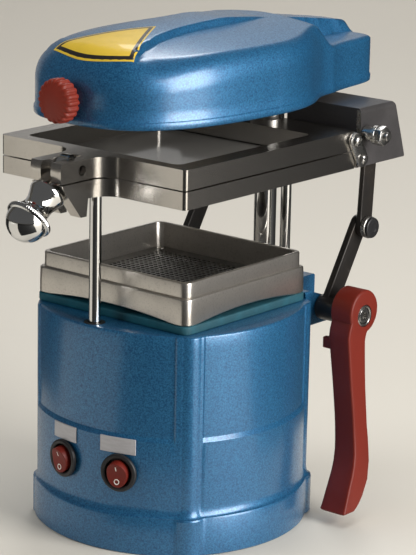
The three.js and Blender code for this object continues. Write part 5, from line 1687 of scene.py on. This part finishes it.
def label(side):
    """A bare plate bent to the band: strips of points along the band's arc, carried out
    along its normals."""
    b = Sizes("base")
    low, high = span(f"label_plate_{side}")
    right_wide, n, start, out, edge = 22.6, 14, 0.3, 1.05, 0.2
    if side == "right":
        high[0] = low[0] + right_wide
    radius = bulge(b.middle, b.corner)
    xs = np.linspace(low[0], high[0], n)
    front = (radius - np.sqrt(radius ** 2 - xs ** 2)) - (b.middle + b.band_out)
    normal = np.c_[xs / radius, -np.sqrt(1 - (xs / radius) ** 2)]

    def strip(depth, z, cut=0.0):
        x = np.clip(xs, xs[0] + cut, xs[-1] - cut)
        return np.c_[x + normal[:, 0] * depth, front + normal[:, 1] * depth, np.full(n, z)]

    z0, z1 = low[2], high[2]
    strips = np.array([
        strip(start, z0), strip(out - 0.1, z0 + 0.1), strip(out, z0 + 0.25, edge),
        strip(out, z1 - 0.25, edge), strip(out - 0.1, z1 - 0.1), strip(start, z1)])
    plate = grid(strips, wrap_u=True)
    first = [i * n for i in range(len(strips))]
    plate.faces += [first, [i + n - 1 for i in first[::-1]]]
    piece(f"label_film_{side}", plate, "label_plate", "base",
          [f"label_plate_{side}"], sharp=30)


class FORMER_OT_switches(bpy.types.Operator):
    """Builds the round rocker switches, their marks and the label plates"""
    bl_idname = "former.switches"
    bl_label = "Switches and labels"

    def execute(self, context):
        for side, x in SWITCHES.items():
            switch_bezel(side, x)
            switch_rocker(side, x)
            label(side)
        return {"FINISHED"}


# Heater

def heater_turn(form):
    """The head's own swing about its post."""
    return form.turned("Z", -math.degrees(Sizes("heater").swing), (0, POST_Y, 0))


def before_swing(points):
    """Flat points turned back from the head's swing."""
    a = Sizes("heater").swing
    back = np.array([[math.cos(a), math.sin(a)], [-math.sin(a), math.cos(a)]])
    return (points - (0, POST_Y)) @ back + (0, POST_Y)


def oval(x, y, wide, long, power):
    """How far a squarer oval reaches in the direction of x, y, by a sum of powers."""
    return ((x / wide) ** power + (y / long) ** power) ** (-1 / power)


def heater_reach(turn):
    """The cover's outline from the oval's middle: a squarer oval in front, a rounder one
    behind, and a tapering tail blended in by a tenth-power sum."""
    h = Sizes("heater")
    c, s = np.abs(np.cos(turn)), np.sin(turn)
    front = oval(c, np.abs(s), h.half, h.front, 2.77)
    back = oval(c, np.abs(s), h.half, h.back, 2.2)
    up = np.maximum(s, 1e-3)
    taper, narrow, wide, even, blend = 25, 0.2, 0.55, 0.26, 10
    width = h.tail_half + taper * (np.clip(c / up, narrow, wide) - even)
    tail = oval(c, up, width, h.tail_end - h.middle, 9)
    return np.where(s < 0, front, (back ** blend + tail ** blend) ** (1 / blend))


def spine_half(y):
    """Half the spine's width at each y: wide over the front dome, narrow over the tail."""
    return np.interp(y, [-75, -60, -37, -15, 10, 42, 65, 120, 165],
                     [36, 27, 20.5, 17, 15, 14, 12, 9.5, 9])


def heater_top(x, y):
    """The crown's height over the rim before its shoulder is rounded. The body falls to the
    front and to the sides by powers of the distance; the hollows lie a scallop below it and run
    down into the tail; the spine stays up between them and rounds off at its end."""
    h = Sizes("heater")
    front_power, side_power, ridge_power, ridge_fall, ridge_long = 3.4, 1.7, 1.23, 5.4, 56
    tail_start, tail_full, ridge_start, ridge_full = 84, 106, 5, 45
    spine_start, spine_full, end_long = -78, -60, 9
    ahead = np.maximum(h.apex - y, 0) / (h.apex - h.middle + h.front)
    body = (h.crown - h.front_fall * ahead ** front_power
            - h.side_fall * (np.abs(x) / h.half) ** side_power)
    on_tail = smooth(y, tail_start, tail_full)
    side = (body - h.scallop) * (1 - on_tail) + h.tail * on_tail
    along = h.crown - ridge_fall * (np.maximum(y - h.middle, 0) / ridge_long) ** ridge_power
    blend = smooth(y, ridge_start, ridge_full)
    ridge = np.maximum(side, body * (1 - blend) + along * blend)
    end = np.clip((y - h.spine_end) / end_long, 0, 1)
    ridge = side + (ridge - side) * np.sqrt(1 - end ** 2)
    width = spine_half(y)
    beside = smooth(np.abs(x), width, width + h.flank) * smooth(y, spine_start, spine_full)
    ridge = np.where(y < spine_start, body, ridge)
    return ridge * (1 - beside) + side * beside


def heater_height(x, y):
    """The finished height over the rim at any place inside the outline: an upright wall, then
    a shoulder along a quarter circle; both change from the front tip to the sides."""
    h = Sizes("heater")
    turn = np.arctan2(y - h.middle, x)
    forward = np.minimum(np.sin(turn), 0) ** 2
    reach = h.round_side + (h.round_front - h.round_side) * forward
    wall = h.wall_side + (h.wall_front - h.wall_side) * forward
    depth = heater_reach(turn) - np.hypot(x, y - h.middle)
    risen = np.sqrt(np.maximum(0, 1 - (1 - np.clip(depth / reach, 0, 1)) ** 2))
    return wall + (heater_top(x, y) - wall) * risen


def heater_shell(rim):
    """The cover: rings up its lip and wall, over the crown to its middle, and back down the
    inside, closed on themselves under the rim."""
    h = Sizes("heater")
    turn = np.arange(360) * TAU / 360 + TAU / 720
    reach, c, s = heater_reach(turn), np.cos(turn), np.sin(turn)
    lip, top, inside, thick = h.lip, h.lip_top, -1.6, 7

    def ring(grow, z):
        return around(turn, reach + grow, rim + z) + (0, h.middle, 0)

    def dome(part, drop=0.0):
        x, y = reach * part * c, h.middle + reach * part * s
        return np.c_[x, y, rim + heater_height(x, y) - drop]

    wall = h.wall_side + (h.wall_front - h.wall_side) * np.minimum(s, 0) ** 2
    rings = [ring(lip - 0.5, 0), ring(lip, 0.5), ring(lip + 0.1, top / 2), ring(lip, top - 0.7),
             ring(lip - 0.35, top - 0.15), ring(0.25, top + 0.1), ring(0, top + 0.5),
             ring(0.05, 12), ring(0, wall - 6), ring(0, wall - 1), ring(0, wall)]
    depths = np.concatenate([[0.001, 0.003, 0.007, 0.013, 0.021, 0.031, 0.043, 0.057, 0.073,
                              0.091, 0.112], np.linspace(0.135, 0.99, 70), [1]])
    rings += [dome(1 - depth) for depth in depths]
    rings += [dome(0.0, thick), dome(0.5, thick), dome(0.8, thick), ring(-6, wall - 2),
              ring(inside, 14), ring(inside, 0.3), ring(inside + 0.4, 0.0)]
    return grid(np.array(rings), True, True)


def sticker(rim):
    """A thin triangle laid on the crown. Its points are mixed from the three corners, and
    the shortest distance to a side is kept as an attribute for the border. The third side
    bows out by a parabola."""
    corners = np.array([(-25.0, -76.2), (6.5, -22.1), (34.5, -70.9)])
    bow = np.array([2.65, -7.65])
    n, thick, lift = 36, 0.16, 0.02
    a, b = (v.ravel() for v in np.meshgrid(np.linspace(0, 1, n), np.linspace(0, 1, n)))
    weights = np.stack([1 - a, a * (1 - b), a * b], -1)
    flat = weights @ corners + (4 * weights[:, 0] * weights[:, 2])[:, None] * bow
    points = level(flat, rim + heater_height(flat[:, 0], flat[:, 1])).reshape(n, n, 3)
    low = grid(points + (0, 0, lift))
    made = grid(points + (0, 0, thick)) + Form(low.points, [f[::-1] for f in low.faces])
    edge = np.r_[np.arange(n), np.arange(1, n) * n + n - 1,
                 (n - 1) * n + np.arange(n - 2, -1, -1), np.arange(n - 2, 0, -1) * n]
    after = np.roll(edge, -1)
    made.faces += np.stack([edge, edge + n * n, after + n * n, after], -1).tolist()
    item = piece("triangle_film", heater_turn(made), "sticker_film", "heater")
    placed = np.zeros(len(item.data.vertices) * 3)
    item.data.vertices.foreach_get("co", placed)
    p = before_swing(placed.reshape(-1, 3)[:, :2] / MM)
    t = np.linspace(0, 1, 60)[:, None]
    sides = [corners[i] * (1 - t) + corners[j] * t for i, j in ((0, 1), (1, 2), (2, 0))]
    sides[2] = sides[2] + 4 * t * (1 - t) * bow
    distance = np.minimum.reduce(
        [np.linalg.norm(p[:, None] - side[None], axis=2).min(1) for side in sides])
    attribute = item.data.attributes.new("edge", "FLOAT", "POINT")
    attribute.data.foreach_set("value", distance.astype(np.float32))


def heater_knob():
    """The fluted knob: rows of radii from its stem to its domed face, cut by the flutes,
    which are shallow at both ends of the grip."""
    h = Sizes("heater")
    r, stem, long, rounded = h.knob, 7, 15.5, 3
    foot = [(0, 0), (stem, 0), (stem, 3.6)]
    grip = np.vstack([[(r - 2.4, 3.8), (r - 0.6, 4.3), (r, 5.2), (r, 7), (r, 9)],
                      arc(r - rounded, long - 4.6, rounded, rounded)])
    face = [(r - 4.2, long - 1.3), (r - 6, long - 0.8), (5, long - 0.2), (0, long)]
    profile = np.vstack([foot, grip, face])
    dents = np.zeros(len(profile))
    rows = np.arange(len(grip))
    dents[len(foot):][rows] = np.interp(rows, [0, 1, 9, 11], [0.4, 1.1, 1.1, 0.8])
    knob = lathe(profile, h.flutes * 12, dents=dents, teeth=h.flutes, power=1.8)
    wall = h.middle - h.front - 0.3
    knob = knob.turned("X", 90).at(0, wall, centre("heater_knob")[2])
    piece("fluted_knob", heater_turn(knob), "knob_plastic", "heater",
          ["heater_knob"], sharp=45)


def element():
    """The reflector's bowl, and the element: a disc with ring grooves underneath."""
    low = span("reflector")[0][2]
    flat, rim, deep, thick = 42, 53.4, 11, 1
    bowl = lathe([(0, low + deep), (flat, low + deep), (flat + 1.4, low + deep - 0.6),
                  (rim, low + 0.2), (rim + 0.3, low), (rim + 0.3, low + 1.2),
                  (flat + 1.6, low + deep + 0.6), (flat + 0.2, low + deep + thick),
                  (0, low + deep + thick)], 96)
    piece("reflector_bowl", heater_turn(bowl), "inner_steel", "heater",
          ["reflector"])
    low, high = (corner[2] for corner in span("heating_element"))
    radius, edge, pitch, half, groove = 34.9, 0.7, 4.0, 0.9, 1.5
    profile = [(0, high), (radius - edge, high), (radius, high - edge),
               (radius, low + edge + 0.1), (radius - edge, low)]
    for r in np.arange(31, 3, -pitch):
        profile += [(r + half, low), (r + half - 0.3, low + groove),
                    (r - half + 0.3, low + groove), (r - half, low)]
    piece("element_disc", heater_turn(lathe(profile + [(0, low)], 72)), "ceramic", "heater",
          ["heating_element"])


class FORMER_OT_heater(bpy.types.Operator):
    """Builds the heater's painted cover, its sticker, knob, reflector and element"""
    bl_idname = "former.heater"
    bl_label = "Heater head"

    def execute(self, context):
        rim = span("heater_cover")[0][2]
        piece("heater_dome", heater_turn(heater_shell(rim)), "hammered_paint", "heater",
              ["heater_cover"], sharp=50)
        sticker(rim)
        heater_knob()
        element()
        return {"FINISHED"}


# What stays from the CAD

class FORMER_OT_inside(bpy.types.Operator):
    """Gives the CAD nodes that stay their materials"""
    bl_idname = "former.inside"
    bl_label = "Inner parts"

    def execute(self, context):
        kept = {"bottom_plate": "black_steel", "vacuum_motor": "plain_steel",
                "fan_housing": "cast_metal", "heater_plate": "black_steel"}
        kept.update({f"foot_pad_{i}": "foot_rubber" for i in range(1, 5)})
        for node, finish in kept.items():
            dress(node, finish)
        return {"FINISHED"}


# Stage

def link_to_scene(name, data):
    """A new object of the stage."""
    item = bpy.data.objects.new(name, data)
    bpy.context.scene.collection.objects.link(item)
    return item


def round_object(azimuth, distance, z=0.0):
    """A place round the object in metres: 0 is the front, 90 the lever side."""
    a = math.radians(azimuth)
    return (distance * math.sin(a), -distance * math.cos(a), z)


def lamp(name, place, aim, size, power, tone=(1, 1, 1)):
    """A rectangular area lamp that faces its aim."""
    data = bpy.data.lights.new(name, "AREA")
    data.shape, data.size, data.size_y = "RECTANGLE", *size
    data.energy, data.color = power, tone
    item = link_to_scene(name, data)
    item.location = place
    item.rotation_euler = (Vector(aim) - Vector(place)).to_track_quat("-Z", "Y").to_euler()
    return item


def card(name, start, end, near, far, z, tone=0.006):
    """A card that only reflections see: a ring sector whose points run from the near to the
    far radius, from just over the floor to its height, and from the start to the end
    direction."""
    turns = np.radians(np.linspace(start, end, 25))[None]
    reach = np.linspace(near, far, 3)[:, None]
    rise = np.linspace(0.004, z, 3)[:, None]
    points = np.stack([reach * np.sin(turns), -reach * np.cos(turns), rise + 0 * turns], -1) / MM
    item = link_to_scene(name, mesh_of(name, grid(points)))
    c = Shader(name)
    c.set(Base_Color=c.mix(c.noise(200, 2), [tone] * 3, [tone * 1.4] * 3), Roughness=0.9)
    item.data.materials.append(c.material)
    item.visible_camera = item.visible_diffuse = item.visible_shadow = False
    item.visible_transmission = False


def table():
    """The table and backdrop: flat strips, a quarter circle and a wall, carried across
    the view's direction."""
    depth, lift, top, half = 3.2, 1.2, 7.0, 9
    curve = arc(depth, lift, lift, lift, -90, 0, 12)
    back = np.concatenate([[-6.0, -1, 0, 1, 2], curve[:, 0], [depth + lift]])
    height = np.concatenate([np.zeros(5), curve[:, 1], [top]])
    across = np.linspace(-half, half, 9)
    toward, right = np.array([-0.637, 0.7707]), np.array([0.7707, 0.637])
    flat = back[:, None, None] * toward + across[None, :, None] * right
    points = np.concatenate([flat, np.repeat(height[:, None, None], 9, 1)], 2) / MM
    floor = link_to_scene("table", mesh_of("table", grid(points)))
    mesh = floor.data
    mesh.polygons.foreach_set("use_smooth", np.ones(len(mesh.polygons), bool))
    s = Shader("table_paper")
    f = Sizes("finish")
    fine = s.noise(3, 3, 0.6)
    tone = s.mix(s.noise(700, 2, 0.5).rise(0.3, 0.7) * 0.5, f.floor, times(f.floor, 0.95))
    s.set(Base_Color=tone, Roughness=0.8 + fine * 0.1, Normal=s.bump(fine, 0.03, 0.3))
    mesh.materials.append(s.material)


def camera(scene):
    """The camera at the photograph's place: its direction, its roll and its lens."""
    place, lens = (0.96968, -1.13829, 0.54479), 162.75
    az, pitch, roll = (math.radians(v) for v in (39.58, 14.76, 1.14))
    data = bpy.data.cameras.new("view")
    data.lens, data.sensor_width, data.sensor_fit = lens, 36, "AUTO"
    data.clip_start, data.clip_end = 0.05, 50
    ahead = Vector((-math.sin(az) * math.cos(pitch), math.cos(az) * math.cos(pitch),
                    -math.sin(pitch)))
    right = Vector((math.cos(az), math.sin(az), 0))
    up = right.cross(ahead)
    x_axis = right * math.cos(roll) + up * math.sin(roll)
    y_axis = up * math.cos(roll) - right * math.sin(roll)
    turned = Matrix((x_axis, y_axis, -ahead)).transposed().to_4x4()
    turned.translation = Vector(place)
    scene.camera = link_to_scene("view", data)
    scene.camera.matrix_world = turned


class FORMER_OT_stage(bpy.types.Operator):
    """Builds the table and backdrop, the lights, the world and the camera"""
    bl_idname = "former.stage"
    bl_label = "Stage and camera"

    def execute(self, context):
        table()
        lamp("key", round_object(95, 1.85, 0.80), (0, 0, 0.2), (1.15, 1.5), 58, (1, 0.985, 0.96))
        fill = lamp("fill", round_object(-36, 1.9, 0.75), (-0.15, -0.3, 0.0), (0.9, 1.4), 17,
                    (0.95, 0.98, 1))
        above = lamp("top", (-0.1, 0.3, 2.3), (0, 0.2, 0.0), (1.6, 1.6), 27)
        fill.visible_glossy = above.visible_glossy = False
        lamp("back", round_object(215, 2.6, 2.6), round_object(190, 3.2, 0.3), (2.0, 1.0), 40)
        card("dark_near", -8, 72, 0.22, 3.0, 0.004)
        card("dark_right", 112, 200, 0.22, 3.0, 0.004)
        card("dark_left", -100, -62, 0.3, 3.0, 0.004)
        card("dark_wall", 112, 205, 1.6, 1.9, 1.3)
        card("grey_wall", 205, 265, 1.6, 1.9, 1.3, 0.25)
        world = bpy.data.worlds.new("studio")
        world.use_nodes = True
        background = world.node_tree.nodes["Background"].inputs
        background["Color"].default_value = (0.9, 0.9, 0.9, 1)
        background["Strength"].default_value = 0.10
        context.scene.world = world
        camera(context.scene)
        context.scene.view_settings.view_transform = "Standard"
        return {"FINISHED"}


STEPS = [FORMER_OT_stage, FORMER_OT_base, FORMER_OT_tray, FORMER_OT_columns, FORMER_OT_frames,
         FORMER_OT_clamp, FORMER_OT_cover, FORMER_OT_linkage, FORMER_OT_lever,
         FORMER_OT_switches, FORMER_OT_heater, FORMER_OT_inside]


class FORMER_PT_panel(bpy.types.Panel):
    """Lists the operators and their sizes in the 3D view's sidebar"""
    bl_label = "Vacuum former"
    bl_idname = "FORMER_PT_panel"
    bl_space_type = "VIEW_3D"
    bl_region_type = "UI"
    bl_category = "Vacuum former"

    def draw(self, context):
        for step in STEPS:
            self.layout.operator(step.bl_idname)
        for name, group in GROUPS.items():
            box = self.layout.box()
            box.label(text=name.capitalize())
            for key in group.__annotations__:
                box.prop(getattr(context.scene, "former_" + name), key)


def register():
    for item in [*GROUPS.values(), *STEPS, FORMER_PT_panel]:
        bpy.utils.register_class(item)
    for name, group in GROUPS.items():
        setattr(bpy.types.Scene, "former_" + name, bpy.props.PointerProperty(type=group))


def unregister():
    for name in GROUPS:
        delattr(bpy.types.Scene, "former_" + name)
    for item in [FORMER_PT_panel, *STEPS[::-1], *GROUPS.values()]:
        bpy.utils.unregister_class(item)


def build():
    """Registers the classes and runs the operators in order."""
    register()
    for step in STEPS:
        group, name = step.bl_idname.split(".")
        getattr(getattr(bpy.ops, group), name)()


if __name__ == "__main__":
    build()
